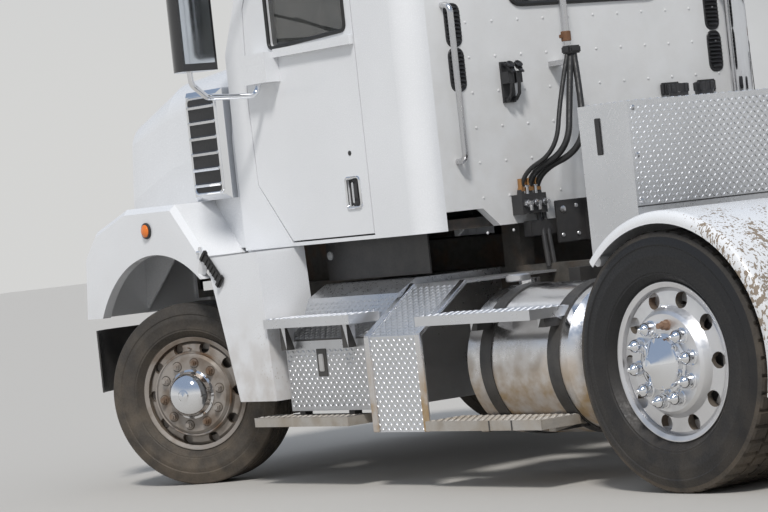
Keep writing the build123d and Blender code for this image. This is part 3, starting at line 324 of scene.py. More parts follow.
def frame_at(origin, out, up=UP):
    """Matrix with local Z along out and local Y near up."""
    z = Vector(out).normalized()
    x = Vector(up).cross(z).normalized()
    y = z.cross(x)
    turned = Matrix((x, y, z)).transposed().to_4x4()
    return Matrix.Translation(Vector(origin)) @ turned


def turn_at(place, degrees, axis):
    """Matrix that turns about an axis, then moves to a place."""
    return Matrix.Translation(place) @ Matrix.Rotation(math.radians(degrees), 4, axis)


def slab(bm, low, high, bevel=0.0, where=Matrix()):
    """Box between two corners, its edges bevelled."""
    low, high = Vector(low), Vector(high)
    size = Matrix.Diagonal((*(high - low), 1))
    made = bmesh.ops.create_cube(bm, size=1, matrix=where @ Matrix.Translation((low + high) / 2) @ size)
    if bevel:
        edges = {edge for vert in made["verts"] for edge in vert.link_edges}
        bmesh.ops.bevel(bm, geom=list(edges), offset=bevel, segments=2, affect="EDGES", clamp_overlap=True)


def bar(bm, start, end, radius, sides=20, tip=None):
    """Round bar or cone between two points."""
    start, end = Vector(start), Vector(end)
    axis = end - start
    turn = axis.to_track_quat("Z", "Y").to_matrix().to_4x4()
    bmesh.ops.create_cone(bm, cap_ends=True, segments=sides, radius1=radius,
                          radius2=radius if tip is None else tip,
                          depth=axis.length, matrix=Matrix.Translation((start + end) / 2) @ turn)


def lathe(bm, profile, where, steps=48, closed=False, radius_of=None):
    """Ring of a profile of (radius, depth along Z) about the frame's Z."""
    rings = []
    for step in range(steps):
        angle = 2 * math.pi * step / steps
        ring = []
        for index, (radius, depth) in enumerate(profile):
            r = radius if radius_of is None else radius_of(index, step, radius)
            ring.append(bm.verts.new(where @ Vector((r * math.cos(angle), r * math.sin(angle), depth))))
        rings.append(ring)
    count = len(profile)
    for step in range(steps):
        here, after = rings[step], rings[(step + 1) % steps]
        for index in range(count if closed else count - 1):
            following = (index + 1) % count
            bm.faces.new((here[index], here[following], after[following], after[index]))
    return rings


def tube(bm, points, radius, sides=10, closed=False):
    """Round tube through a list of points."""
    points = [Vector(point) for point in points]
    count = len(points)
    rings = []
    normal = None
    for index, point in enumerate(points):
        before = points[index - 1] if index or closed else point
        after = points[(index + 1) % count] if index < count - 1 or closed else point
        along = (after - before).normalized()
        if normal is None:
            normal = along.orthogonal().normalized()
        normal = (normal - along * normal.dot(along)).normalized()
        across = along.cross(normal)
        rings.append([bm.verts.new(point + (normal * math.cos(a) + across * math.sin(a)) * radius)
                      for a in (2 * math.pi * side / sides for side in range(sides))])
    for index in range(count if closed else count - 1):
        here, after = rings[index], rings[(index + 1) % count]
        shift = 0
        if closed and index == count - 1:
            shift = min(range(sides), key=lambda s: (after[s].co - here[0].co).length)
        for side in range(sides):
            bm.faces.new((here[side], here[(side + 1) % sides], after[(side + 1 + shift) % sides],
                          after[(side + shift) % sides]))
    if not closed:
        bm.faces.new(rings[0])
        bm.faces.new(rings[-1])


def soft_outline(corners, radius, steps=5):
    """Closed outline of a seal or rim with rounded turns."""
    corners = [Vector(corner) for corner in corners]
    out = []
    for index, corner in enumerate(corners):
        before, after = corners[index - 1], corners[(index + 1) % len(corners)]
        a = corner + (before - corner).normalized() * radius
        b = corner + (after - corner).normalized() * radius
        for step in range(steps + 1):
            t = step / steps
            out.append(a * (1 - t) ** 2 + corner * 2 * t * (1 - t) + b * t ** 2)
    return out


def box_corners(low_a, high_a, low_b, high_b):
    return (low_a, low_b), (high_a, low_b), (high_a, high_b), (low_a, high_b)


def mirrored(bm):
    """Add the other side's copy, mirrored in Y."""
    copy = bmesh.ops.duplicate(bm, geom=bm.verts[:] + bm.edges[:] + bm.faces[:])
    verts = [item for item in copy["geom"] if isinstance(item, bmesh.types.BMVert)]
    faces = [item for item in copy["geom"] if isinstance(item, bmesh.types.BMFace)]
    bmesh.ops.scale(bm, vec=(1, -1, 1), verts=verts)
    bmesh.ops.reverse_faces(bm, faces=faces)


def lozenges(bm, origin, across, up, width, height, pitch=0.0195):
    """Raised lozenges in alternate directions over a flat patch."""
    origin, across, up = Vector(origin), Vector(across).normalized(), Vector(up).normalized()
    out = across.cross(up).normalized()
    for row in range(int(height / pitch)):
        for column in range(int(width / pitch)):
            a, b = (column + 0.5) * pitch, (row + 0.5) * pitch
            centre = origin + across * a + up * b
            turn = 1 if (row + column) % 2 else -1
            long_way = (across + up * turn).normalized()
            short_way = out.cross(long_way)
            ends = [bm.verts.new(centre + long_way * s * pitch * 0.5) for s in (-1, 1)]
            sides = [bm.verts.new(centre + short_way * s * pitch * 0.15) for s in (-1, 1)]
            ridge = [bm.verts.new(centre + long_way * s * pitch * 0.24 + out * 0.0026) for s in (-1, 1)]
            bm.faces.new((ends[0], sides[0], ridge[0]))
            bm.faces.new((ends[0], ridge[0], sides[1]))
            bm.faces.new((ends[1], ridge[1], sides[0]))
            bm.faces.new((ends[1], sides[1], ridge[1]))
            bm.faces.new((sides[0], ridge[1], ridge[0]))
            bm.faces.new((sides[1], ridge[0], ridge[1]))


def side_slab(bm, side, low, high, bevel=0.0):
    """Slab between two corners given for the left side, on either side."""
    y_low, y_high = sorted((side * low[1], side * high[1]))
    slab(bm, at(low[0], y_low, low[2]), at(high[0], y_high, high[2]), bevel)


def screen_frame(sign):
    """Outer lower corner of half the windscreen, and the ways inward, up and out."""
    along = Vector((0.13, -sign * 1.0, 0)).normalized()
    out = along.cross(Vector((-0.48, 0, 1))).normalized()
    out = out if out.x > 0 else -out
    climb = along.cross(out)
    return at(2.94, sign * 1.0, 1.93), along, climb if climb.z > 0 else -climb, out


# Wheels and tyres
WHEELS = []
for side_name, side in SIDES:
    out = Vector((-side * math.sin(PARKED_STEER), side * math.cos(PARKED_STEER), 0))
    WHEELS.append(("front_" + side_name, at(FRONT_AXLE, side * 0.885, 0.418) + out * 0.277, out, True))
    for row, station in (("mid", 0.0), ("rear", -AXLE_SPACING)):
        WHEELS.append((f"{row}_{side_name}", at(station, side * 1.1855, 0.49), Vector((0, side, 0)), False))


def tyre_profile(radius, flange, rim_width, section, grooves, depth, groove):
    """Outline of (radius, depth) around a tyre, and the numbers of its tread points."""
    mid = -rim_width / 2
    tread = section / 2 - 0.02
    side = section / 2 + mid
    belly = (flange + radius) / 2
    wall = [(flange - 0.006, -0.008), (flange + 0.006, -0.004), (flange + 0.016, side - 0.022),
            (flange + 0.03, side - 0.006), (flange + 0.036, side - 0.006), (flange + 0.04, side - 0.003),
            (belly, side), (belly + 0.004, side + 0.001), (belly + 0.01, side),
            (radius - 0.055, side - 0.004), (radius - 0.05, side - 0.001), (radius - 0.038, side - 0.004),
            (radius - 0.022, mid + tread + 0.008), (radius - 0.006, mid + tread + 0.003)]
    edge = mid + tread - 0.006
    top = [(radius, edge)]
    rib = (2 * (tread - 0.006) - grooves * groove) / (grooves + 1)
    for index in range(grooves):
        edge -= rib
        top += [(radius, edge), (radius - depth, edge - 0.0015), (radius - depth, edge - groove + 0.0015),
                (radius, edge - groove)]
        edge -= groove
    top.append((radius, mid - tread + 0.006))
    back = [(r, 2 * mid - z) for r, z in reversed(wall)]
    rows = range(len(wall), len(wall) + len(top))
    inner = [(flange - 0.012, 2 * mid + 0.03), (flange - 0.012, -0.03)]
    return wall + top + back + inner, rows


def lugged(rows):
    """Radius rule that cuts slots across the tread rows, stepped round from rib to rib."""
    first, last = rows[0], rows[-1]

    def cut(index, step, radius):
        if first <= index <= last and radius > 0.48:
            shift = 2 * ((index - first) // 4)
            return radius - 0.009 if (step + shift) % 6 == 0 else radius
        return radius

    return cut


for name, hub, out, steered in WHEELS:
    where = frame_at(hub, out)
    bm = bmesh.new()
    if steered:
        profile, rows = tyre_profile(0.4175, 0.26, 0.19, 0.25, 4, 0.011, 0.0095)
        lathe(bm, profile, where, 128, True)
    else:
        profile, rows = tyre_profile(0.4895, 0.2985, 0.38, 0.445, 5, 0.013, 0.011)
        lathe(bm, profile, where, 288, True, lugged(rows))
    tyre = place_mesh("tread_" + name, bm, "roadwheel_" + name, dusty_tyre if steered else tyre_rubber, 28)
    if not steered:
        tyre.data.materials.append(dusty_tyre)
        for face in tyre.data.polygons:
            spoke = Vector(face.center) - hub
            face.material_index = int((spoke - out * spoke.dot(out)).length > 0.462)
    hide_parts("tyre_" + name)

# Wheels: disc and hub each in its own finish; the wheel's inward faces and the hand holes' walls are painted
# dark iron as shade
def wheel_finish_and_shade(hub, out, hole_low, hole_high):
    """Picker of 0 for the disc, 1 for the inward faces and hand holes' walls painted dark as shade, 2 for
    the hub.
    """
    def pick(centre, normal):
        spoke = centre - hub
        depth = spoke.dot(out)
        reach = (spoke - out * depth).length
        facing = normal.dot(out)
        # Inward faces and the holes' walls take the dark finish as painted shade of the wheel's inside.
        if reach < 0.27 and facing < -0.3 or depth < -0.04 and abs(facing) < 0.5 and reach < 0.29:
            return 1
        if hole_low < reach < hole_high and abs(facing) < 0.2:
            return 1
        return 2 if reach < 0.1 else 0

    return pick


for name, hub, out, steered in WHEELS:
    disc, holes = (dull_wheel, (0.19, 0.242)) if steered else (wheel_metal, (0.207, 0.262))
    repainted("wheel_" + name, "roadwheel_" + name, (disc, cast, bright_chrome),
              wheel_finish_and_shade(hub, out, *holes))

# Wheel nuts, hub details and valves, from outlines of (radius, depth)
NUT_COVER = [(0.0305, DISC_FACE), (0.0305, 0.0345), (0.026, 0.0375), (0.0262, 0.058), (0.024, 0.068),
             (0.0185, 0.0765), (0.0115, 0.0835), (0.0095, 0.09), (0.006, 0.0945), (0.0, 0.0955)]
FRONT_CAP = [(0.112, 0.0305), (0.113, 0.037), (0.104, 0.044), (0.101, 0.052), (0.0995, 0.066),
             (0.094, 0.08), (0.078, 0.0985), (0.055, 0.113), (0.03, 0.121), (0.01, 0.1255), (0.0, 0.1325)]
DRIVE_CAP = [(0.11, 0.0305), (0.11, 0.036), (0.1005, 0.04), (0.0995, 0.062), (0.096, 0.067), (0.09, 0.07),
             (0.088, 0.0715), (0.01, 0.129), (0.0, 0.131)]
for name, hub, out, steered in WHEELS:
    body = "roadwheel_" + name
    where = frame_at(hub, out)
    nuts, rusty, dark, caps = (bmesh.new() for made in range(4))
    for index in range(10):
        angle = 2 * math.pi * (index + 0.2) / 10
        spot = Vector((math.cos(angle), math.sin(angle), 0)) * STUD_CIRCLE
        base = where @ (spot + Vector((0, 0, DISC_FACE)))
        if steered:
            # Dark iron ring under each front nut: painted shade of its recess.
            lathe(dark, [(0.0, 0.0306), (0.0225, 0.0306), (0.0235, 0.0312), (0.0235, 0.029)],
                  where @ Matrix.Translation(spot), 24)
            bar(nuts, base, base + out * 0.02, 0.0165, 6, 0.0155)
            bar(nuts, base + out * 0.02, base + out * 0.03, 0.0105, 16, 0.0095)
            bar(nuts, base, base + out * 0.0035, 0.0195, 24)
        elif name == "mid_left" and index == 2:
            bar(rusty, base, base + out * 0.026, 0.0165, 6)
            bar(rusty, base + out * 0.026, base + out * 0.046, 0.0105, 16)
            bar(rusty, base, base + out * 0.004, 0.0205, 24)
        else:
            lathe(nuts, NUT_COVER, where @ Matrix.Translation(spot), 24)
    if steered:
        lathe(caps, FRONT_CAP, where, 64)
        lathe(nuts, [(0.186, 0.0185), (0.192, 0.02), (0.196, 0.0135)], where, 96)
    else:
        lathe(caps, DRIVE_CAP, where, 64)
    bar(nuts, where @ Vector((0, 0.205, -0.01)), where @ Vector((0, 0.212, 0.024)), 0.0042, 10)
    place_mesh("nuts_" + name, nuts, body, bright_chrome if not steered else worn_steel)
    place_mesh("hub_cap_" + name, caps, body, bright_chrome, 22)
    if steered:
        # Rings of painted shade in the front nut recesses.
        place_mesh("nut_recess_shade_" + name, dark, body, cast)
    else:
        dark.free()
    if name == "mid_left":
        place_mesh("bare_nut_" + name, rusty, body, rust)
    else:
        rusty.free()

# Raised lozenges: name, material, patches on both sides, patches across the middle
# A patch is its corner, its two ways, its width and its height.
lozenge_rows = (
    ("box_lozenges", tread_plate, (
        ((2.497, 1.1502, 0.345), BACK, UP, 0.645, 0.27),
        ((2.497, 1.148, 0.642), BACK, (0, -0.1, 0.06), 0.645, 0.11),
        ((2.497, 1.049, 0.703), BACK, (0, -0.05, 0.108), 0.645, 0.115)), ()),
    ("plate_lozenges", clean_plate, (
        ((1.842, 1.2002, 0.245), BACK, UP, 0.362, 0.39),
        ((1.842, 1.199, 0.642), BACK, (0, -0.27, 0.195), 0.362, 0.33)), (
        ((0.424, 0.88, 1.075), IN, UP, 1.76, 0.395),
        ((0.4245, 0.88, 1.483), IN, (1, 0, 0), 1.76, 0.285))),
    ("upper_step_lozenges", clean_plate, (
        ((1.466, 1.222, 0.715), BACK, IN, 0.722, 0.2),
        ((2.541, 1.222, 0.74), BACK, IN, 0.618, 0.16)), ()),
    ("lower_step_lozenges", dusty_plate, (
        ((1.466, 1.222, 0.285), BACK, IN, 0.722, 0.2),
        ((2.686, 1.222, 0.31), BACK, IN, 0.682, 0.135)), ()),
)
for name, material, both_sides, middle in lozenge_rows:
    plate = bmesh.new()
    for corner, across, up, width, height in both_sides:
        lozenges(plate, at(*corner), across, up, width, height)
    mirrored(plate)
    for corner, across, up, width, height in middle:
        lozenges(plate, at(*corner), across, up, width, height)
    place_mesh(name, plate, ROOT, material, 10)

# Smooth rolled edges of the step fairings
edges = bmesh.new()
edge_outline = ((1.1995, 0.24), (1.2075, 0.24), (1.2075, 0.6435), (0.934, 0.8425), (0.9295, 0.8355),
                (1.1995, 0.64))
for low, high in ((1.47, 1.508), (1.815, 1.853)):
    near, far = ([edges.verts.new(at(station, y, z)) for y, z in edge_outline] for station in (low, high))
    for index in range(len(edge_outline)):
        after = (index + 1) % len(edge_outline)
        edges.faces.new((near[index], near[after], far[after], far[index]))
    edges.faces.new(near)
    edges.faces.new(far)
bmesh.ops.bevel(edges, geom=edges.edges[:], offset=0.003, segments=2, affect="EDGES", clamp_overlap=True)
mirrored(edges)
place_mesh("fairing_edges", edges, ROOT, polished)

# Tail lamps' rims
tail = bmesh.new()
for y in (0.2, 0.33):
    where = frame_at(at(-2.0185, y, 0.725), BACK)
    lathe(tail, [(0.0525, 0.0), (0.0575, 0.002), (0.0575, 0.01), (0.0525, 0.013)], where, 32)
    for radius in (0.04, 0.026):
        lathe(tail, [(radius, 0.0312), (radius + 0.0012, 0.0322), (radius + 0.0024, 0.0312)], where, 32)
mirrored(tail)
place_mesh("tail_lamp_rims", tail, ROOT, rubber)

# Nodes with more than one finish
def step_face(centre, normal):
    if 0.31 < centre.z < 0.674 or centre.z < 0.244:
        return 2
    return int(centre.z < 0.45)


LENS_FACE = -2.0195 - ORIGIN_STATION
repainted("tail_lamps", ROOT, (black_metal, red_lens), lambda centre, normal: int(centre.x < LENS_FACE))
repainted("fifth_wheel_plate", "fifth_wheel", (cast, greasy), lambda centre, normal: int(centre.z > 1.16))
repainted("exhaust_stack", ROOT, (bright_chrome, frame_black),
          lambda centre, normal: int(centre.z < 0.975 and centre.y > -0.79))
repainted("hydraulic_tank", ROOT, (clean_plate, black_metal), lambda centre, normal: int(centre.z > 1.484))
# Skirt faces under the cab, behind station 2.545, are drawn black.
repainted("cowl_flares", ROOT, (flare_paint, black_metal), lambda centre, normal: int(centre.x < 1.52))
repainted("side_steps", ROOT, (clean_plate, dusty_plate, black_metal), step_face)
repainted("hose_gear", ROOT, (black_metal, steel), lambda centre, normal: int(centre.y < 0.25))


def mirror_face(centre, normal):
    if abs(centre.y) < 1.0751 and 1.774 < centre.z < 1.908:
        return 0
    head = abs(centre.y) > 1.2799 and centre.x > 1.5745 and 1.849 < centre.z < 2.411
    return 2 if head else 1


for side_name, side in SIDES:
    finishes = (paint, bright_chrome, black_gloss)
    repainted("mirror_" + side_name, "door_assembly_" + side_name, finishes, mirror_face)

# Box seams and latch, tank caps, tank handle
dark = bmesh.new()
slab(dark, at(1.856, 1.149, 0.634), at(2.494, 1.1512, 0.64))
slab(dark, at(2.205, 1.15, 0.478), at(2.275, 1.153, 0.598), 0.004)
for station in (1.06, 0.92):
    slab(dark, at(station - 0.004, 1.2245, 0.245), at(station + 0.004, 1.2262, 0.285))
mirrored(dark)
slab(dark, at(0.59, 0.8868, 1.285), at(0.622, 0.892, 1.43), 0.006)
slab(dark, at(0.4225, -0.885, 1.068), at(0.4245, 0.885, 1.073))
for y in (0.35, 0.49):
    for rib in range(12):
        slab(dark, (0.036, -0.004, 1.505), (0.043, 0.004, 1.536), 0.001,
             turn_at(at(0.55, y, 0), 30 * rib, "Z"))
    lathe(dark, [(0.0395, 1.503), (0.041, 1.506), (0.041, 1.533), (0.036, 1.538), (0.0, 1.5382)],
          Matrix.Translation(at(0.55, y, 0)), 32)
place_mesh("dark_seams", dark, ROOT, black_metal)
bright = bmesh.new()
slab(bright, at(2.222, 1.1522, 0.5), at(2.258, 1.159, 0.576), 0.004)
lathe(bright, [(0.047, 0.0), (0.052, 0.004), (0.052, 0.024), (0.045, 0.03), (0.0, 0.031)],
      frame_at(at(1.3, 0.795, 0.812), UP, (1, 0, 0)), 28)
mirrored(bright)
for y in (-0.86, 0.86):
    for z in (1.09, 1.27, 1.455):
        lathe(bright, [(0.011, 0.0), (0.01, 0.003), (0.005, 0.0055), (0.0, 0.006)],
              frame_at(at(0.4238, y, z), BACK), 12)
place_mesh("caps_and_catches", bright, ROOT, steel)

# Rear wall: rivets, louvred vents, brackets, window gasket
rivet_rows = [(0.68 - 0.144 * column, 1.913 - 0.149 * row) for row in range(7) for column in range(11)]
rivet_rows += [(y, z) for z in (2.06, 2.2, 2.35, 2.5) for y in (0.8, 0.66, 0.56, -0.56, -0.66, -0.8)]
rivets = bmesh.new()
for y, z in rivet_rows:
    lathe(rivets, [(0.0065, 0.0), (0.006, 0.0018), (0.0035, 0.0032), (0.0, 0.0036)],
          frame_at(at(REAR_WALL, y, z), BACK), 10)
place_mesh("wall_rivets", rivets, ROOT, wall_paint)
vents = bmesh.new()
for z in (1.905, 1.716):
    for sign in (1, -1):
        y = 0.75 * sign
        corners = [at(REAR_WALL + 0.001, y + a, z + b) for a, b in box_corners(-0.038, 0.038, -0.088, 0.088)]
        lobed = soft_outline(corners, 0.034)
        tube(vents, lobed, 0.006, 8, True)
        back = [vents.verts.new(point + Vector((-0.003, 0, 0))) for point in lobed]
        vents.faces.new(back)
        for blade in range(9):
            level = z - 0.07 + blade * 0.0175
            half = 0.036 if 0 < blade < 8 else 0.026
            slab(vents, (-0.007, -half, -0.0018), (0.007, half, 0.0018), 0,
                 turn_at(at(REAR_WALL - 0.006, y, level), 38, "Y"))
for y in (-0.44, -0.66):
    slab(vents, at(REAR_WALL - 0.03, y - 0.05, 1.535), at(REAR_WALL + 0.001, y + 0.05, 1.59), 0.006)
    slab(vents, at(REAR_WALL - 0.036, y - 0.036, 1.546), at(REAR_WALL - 0.028, y + 0.036, 1.58), 0.004)
place_mesh("wall_vents", vents, ROOT, black_metal)
seals = bmesh.new()
corners = [at(REAR_WALL - 0.002, y, z) for y, z in box_corners(-0.43, 0.43, 1.977, 2.43)]
tube(seals, soft_outline(corners, 0.07), 0.011, 8, True)
for sign in (1, -1):
    base, along, climb, out = screen_frame(sign)
    pane = ((0.09, 0.06), (0.96, 0.06), (0.93, 0.64), (0.14, 0.64))
    corners = [base + along * a + climb * b for a, b in pane]
    tube(seals, soft_outline(corners, 0.045), 0.01, 8, True)
place_mesh("window_seals", seals, ROOT, rubber)
for side_name, side in SIDES:
    seal = bmesh.new()
    pane = ((2.025, 1.945), (2.592, 1.923), (2.592, 2.24), (2.5, 2.48), (2.025, 2.48))
    corners = [at(station, side * 1.0005, z) for station, z in pane]
    tube(seal, soft_outline(corners, 0.03), 0.009, 8, True)
    place_mesh("door_seal_" + side_name, seal, "door_assembly_" + side_name, rubber)

# Door latches and mirror glass
for side_name, side in SIDES:
    body = "door_assembly_" + side_name
    latch = bmesh.new()
    corners = [at(station, side * 1.0015, z) for station, z in box_corners(2.036, 2.134, 1.186, 1.314)]
    tube(latch, soft_outline(corners, 0.016), 0.007, 8, True)
    side_slab(latch, side, (2.094, 0.989, 1.205), (2.106, 0.9965, 1.295), 0.003)
    place_mesh("latch_" + side_name, latch, body, bright_chrome)
    recess = bmesh.new()
    side_slab(recess, side, (2.042, 0.9865, 1.192), (2.128, 0.9885, 1.308))
    side_slab(recess, side, (2.054, 0.988, 1.222), (2.088, 1.0005, 1.292), 0.005)
    side_slab(recess, side, (2.054, 0.988, 1.2), (2.088, 1.0005, 1.214), 0.003)
    lathe(recess, [(0.011, 0), (0.0105, 0.002), (0.007, 0.003), (0.0, 0.0032)],
          frame_at(at(2.085, side * 1.0, 1.42), (0, side, 0)), 16)
    place_mesh("latch_recess_" + side_name, recess, body, black_metal)
    view_glass = bmesh.new()
    for low, high in ((1.882, 2.22), (2.235, 2.385)):
        side_slab(view_glass, side, (2.5975, 1.292, low), (2.6005, 1.449, high), 0.001)
    place_mesh("mirror_glass_" + side_name, view_glass, body, looking_glass)

# Hood intakes, fender lamps, hood straps
for side_name, side in SIDES:
    panel = bmesh.new()
    side_slab(panel, side, (3.002, 1.0405, 1.325), (3.222, 1.0432, 1.757), 0.002)
    place_mesh("intake_panel_" + side_name, panel, HOOD, black_metal)
    slats = bmesh.new()
    opening = [at(station, side * 1.043, z) for station, z in box_corners(3.0, 3.224, 1.322, 1.76)]
    tube(slats, soft_outline(opening, 0.03), 0.0075, 10, True)
    for blade in range(6):
        z = 1.362 + blade * 0.0715
        slab(slats, (-0.106, -0.012, -0.0065), (0.106, 0.012, 0.0065), 0.003,
             turn_at(at(3.112, side * 1.0455, z), -28 * side, "X"))
    place_mesh("intake_slats_" + side_name, slats, HOOD, bright_chrome)
    lamp_frame = frame_at(at(FRONT_AXLE, side * 1.2, 1.182), (0, side, 0))
    lamp = bmesh.new()
    lathe(lamp, [(0.036, 0.0), (0.038, 0.004), (0.036, 0.01), (0.03, 0.0115), (0.03, 0.006)],
          lamp_frame, 32)
    place_mesh("marker_bezel_" + side_name, lamp, HOOD, black_metal)
    lens = bmesh.new()
    lathe(lens, [(0.03, 0.006), (0.029, 0.014), (0.02, 0.021), (0.008, 0.0235), (0.0, 0.024)],
          lamp_frame, 32)
    place_mesh("marker_lens_" + side_name, lens, HOOD, amber_lens)
    catch = bmesh.new()
    side_slab(catch, side, (2.996, 1.196, 1.03), (3.022, 1.206, 1.085), 0.003)
    bar(catch, at(3.001, side * 1.206, 1.06), at(3.026, side * 1.206, 1.06), 0.008)
    place_mesh("strap_hook_" + side_name, catch, HOOD, bright_chrome)
    strap = bmesh.new()
    along = (at(2.862, 0, 0.926) - at(2.958, 0, 1.03)).normalized()
    where = frame_at(at(2.91, side * 1.2, 0.972), (0, side, 0), along)
    slab(strap, (-0.023, -0.092, -0.001), (0.023, 0.06, 0.014), 0.005, where)
    slab(strap, (-0.034, 0.05, -0.001), (0.034, 0.08, 0.022), 0.008, where)
    slab(strap, (-0.03, -0.108, -0.001), (0.03, -0.084, 0.02), 0.006, where)
    for rib in (-0.06, -0.036, -0.012, 0.012, 0.036):
        slab(strap, (-0.019, rib - 0.004, 0.012), (0.019, rib + 0.004, 0.018), 0.002, where)
    place_mesh("hood_strap_" + side_name, strap, ROOT, rubber)

# Nose: headlamps with round lenses, turn lamps, grille surround
lamp_out = Vector((0.238, 0, 0.03)).normalized()
lamp_up = Vector((-0.03, 0, 0.238)).normalized()
rims = bmesh.new()
lenses = bmesh.new()
turns = bmesh.new()
for side_name, side in SIDES:
    middle = at(4.045, side * 1.0175, 0.961)
    y_way = Vector((0, side, 0))
    corners = [middle + lamp_out * 0.002 + y_way * a + lamp_up * b
               for a, b in box_corners(-0.124, 0.124, -0.112, 0.112)]
    tube(rims, soft_outline(corners, 0.022), 0.008, 10, True)
    bulb = frame_at(middle - y_way * 0.038, lamp_out)
    lathe(rims, [(0.074, -0.001), (0.08, 0.004), (0.08, 0.01), (0.074, 0.012), (0.071, 0.006)], bulb, 40)
    lathe(rims, [(0.071, 0.004), (0.045, 0.0015), (0.016, 0.001), (0.012, 0.008), (0.0, 0.009)], bulb, 40)
    lathe(lenses, [(0.072, 0.008), (0.06, 0.016), (0.035, 0.021), (0.0, 0.023)], bulb, 40)
    turn = frame_at(middle + y_way * 0.082, lamp_out)
    slab(turns, (-0.03, -0.098, -0.001), (0.03, 0.098, 0.01), 0.006, turn)
    for rib in range(11):
        level = -0.085 + rib * 0.017
        slab(turns, (-0.026, level - 0.004, 0.009), (0.026, level + 0.004, 0.0125), 0.0018, turn)
surround = [at(4.0525, y, z) for y, z in box_corners(-0.574, 0.574, 0.817, 1.573)]
tube(rims, soft_outline(surround, 0.03), 0.011, 10, True)
place_mesh("nose_rims", rims, HOOD, bright_chrome, 25)
place_mesh("headlamp_lenses", lenses, HOOD, clear, 25)
place_mesh("turn_lamps", turns, HOOD, amber_lens)

# Skirt lamps and frame bolts
lamps = bmesh.new()
lathe(lamps, [(0.02, 0.0), (0.019, 0.006), (0.01, 0.011), (0.0, 0.012)],
      frame_at(at(2.5, 0.8545, 0.985), (0, 1, 0)), 20)
mirrored(lamps)
place_mesh("skirt_lamps", lamps, ROOT, clear)
bolts = bmesh.new()
stations = (-1.98, -1.9, -1.62, -1.46, -1.2, -1.05, -0.86, -0.78, -0.34, -0.26, -0.1, 0.1, 0.36,
            0.74, 0.8, 1.16, 1.22, 1.36, 1.52)
for station in stations:
    for z in (0.645, 0.73, 0.815):
        spot = at(station, 0.4318, z)
        bar(bolts, spot, spot + Vector((0, 0.004, 0)), 0.017, 16)
        bar(bolts, spot + Vector((0, 0.004, 0)), spot + Vector((0, 0.016, 0)), 0.0125, 6)
mirrored(bolts)
place_mesh("frame_bolts", bolts, ROOT, cast)

# Fifth wheel: grease grooves, bolts and the release handle
grease = bmesh.new()
for sign in (1, -1):
    for shift in (0.13, 0.0, -0.13):
        spot = at(-0.56 + shift, sign * 0.27, 1.1652)
        slab(grease, (-0.004, -0.12, -0.001), (0.004, 0.12, 0.0008), 0, turn_at(spot, 28 * sign, "Z"))
    bar(grease, at(-0.56, sign * 0.385, 1.075), at(-0.56, sign * 0.398, 1.075), 0.03, 6)
tube(grease, [at(-0.7, 0.3, 1.11), at(-0.7, 0.42, 1.105), at(-0.7, 0.48, 1.1), at(-0.73, 0.51, 1.1),
              at(-0.77, 0.51, 1.1)], 0.009, 10)
place_mesh("coupling_details", grease, "fifth_wheel", greasy)

# Roof lamps and wipers
roof_lamps = bmesh.new()
for y in (-0.62, -0.3, 0.0, 0.3, 0.62):
    z = 2.68 + 0.11 * (1 - y * y) - 0.004
    lathe(roof_lamps, [(0.058, 0.0), (0.056, 0.01), (0.04, 0.026), (0.018, 0.033), (0.0, 0.034)],
          Matrix.Translation(at(2.5, y, z)) @ Matrix.Diagonal((1.25, 0.8, 1, 1)), 28)
place_mesh("roof_lamps", roof_lamps, ROOT, amber_lens)
wipers = bmesh.new()
for sign in (1, -1):
    base, along, climb, out = screen_frame(sign)

    def on_screen(a, b, lift):
        return base + along * a + climb * b + out * lift

    bar(wipers, on_screen(0.86, 0.035, -0.002), on_screen(0.86, 0.035, 0.035), 0.018)
    tube(wipers, [on_screen(0.86, 0.035, 0.03), on_screen(0.62, 0.1, 0.034),
                  on_screen(0.42, 0.155, 0.026)], 0.008, 8)
    tube(wipers, [on_screen(0.72, 0.085, 0.012), on_screen(0.42, 0.15, 0.013),
                  on_screen(0.14, 0.205, 0.012)], 0.007, 8)
place_mesh("wipers", wipers, ROOT, black_metal)

# Clamps round the exhaust stack and its shield
clamps = bmesh.new()
for z, radius in ((1.135, 0.132), (2.335, 0.132), (1.08, 0.066), (2.4, 0.066)):
    lathe(clamps, [(radius, -0.014), (radius + 0.004, -0.012), (radius + 0.004, 0.012), (radius, 0.014)],
          Matrix.Translation(at(1.405, -0.85, z)), 48)
place_mesh("exhaust_clamps", clamps, ROOT, bright_chrome)

# Stubs of the junction block
valves = bmesh.new()
for y in (0.415, 0.462, 0.509):
    bar(valves, at(1.536, y, 1.125), at(1.52, y, 1.125), 0.016, 6)
    bar(valves, at(1.522, y, 1.125), at(1.498, y, 1.125), 0.011, 16, 0.0095)
    bar(valves, at(1.505, y, 1.125), at(1.505, y, 1.094), 0.0085, 12, 0.007)
for y in (0.4385, 0.4855):
    bar(valves, at(1.55, y, 1.164), at(1.55, y, 1.2), 0.008, 12, 0.006)
    bar(valves, at(1.55, y - 0.012, 1.198), at(1.55, y + 0.012, 1.202), 0.0045, 10)
place_mesh("valve_stubs", valves, ROOT, steel)

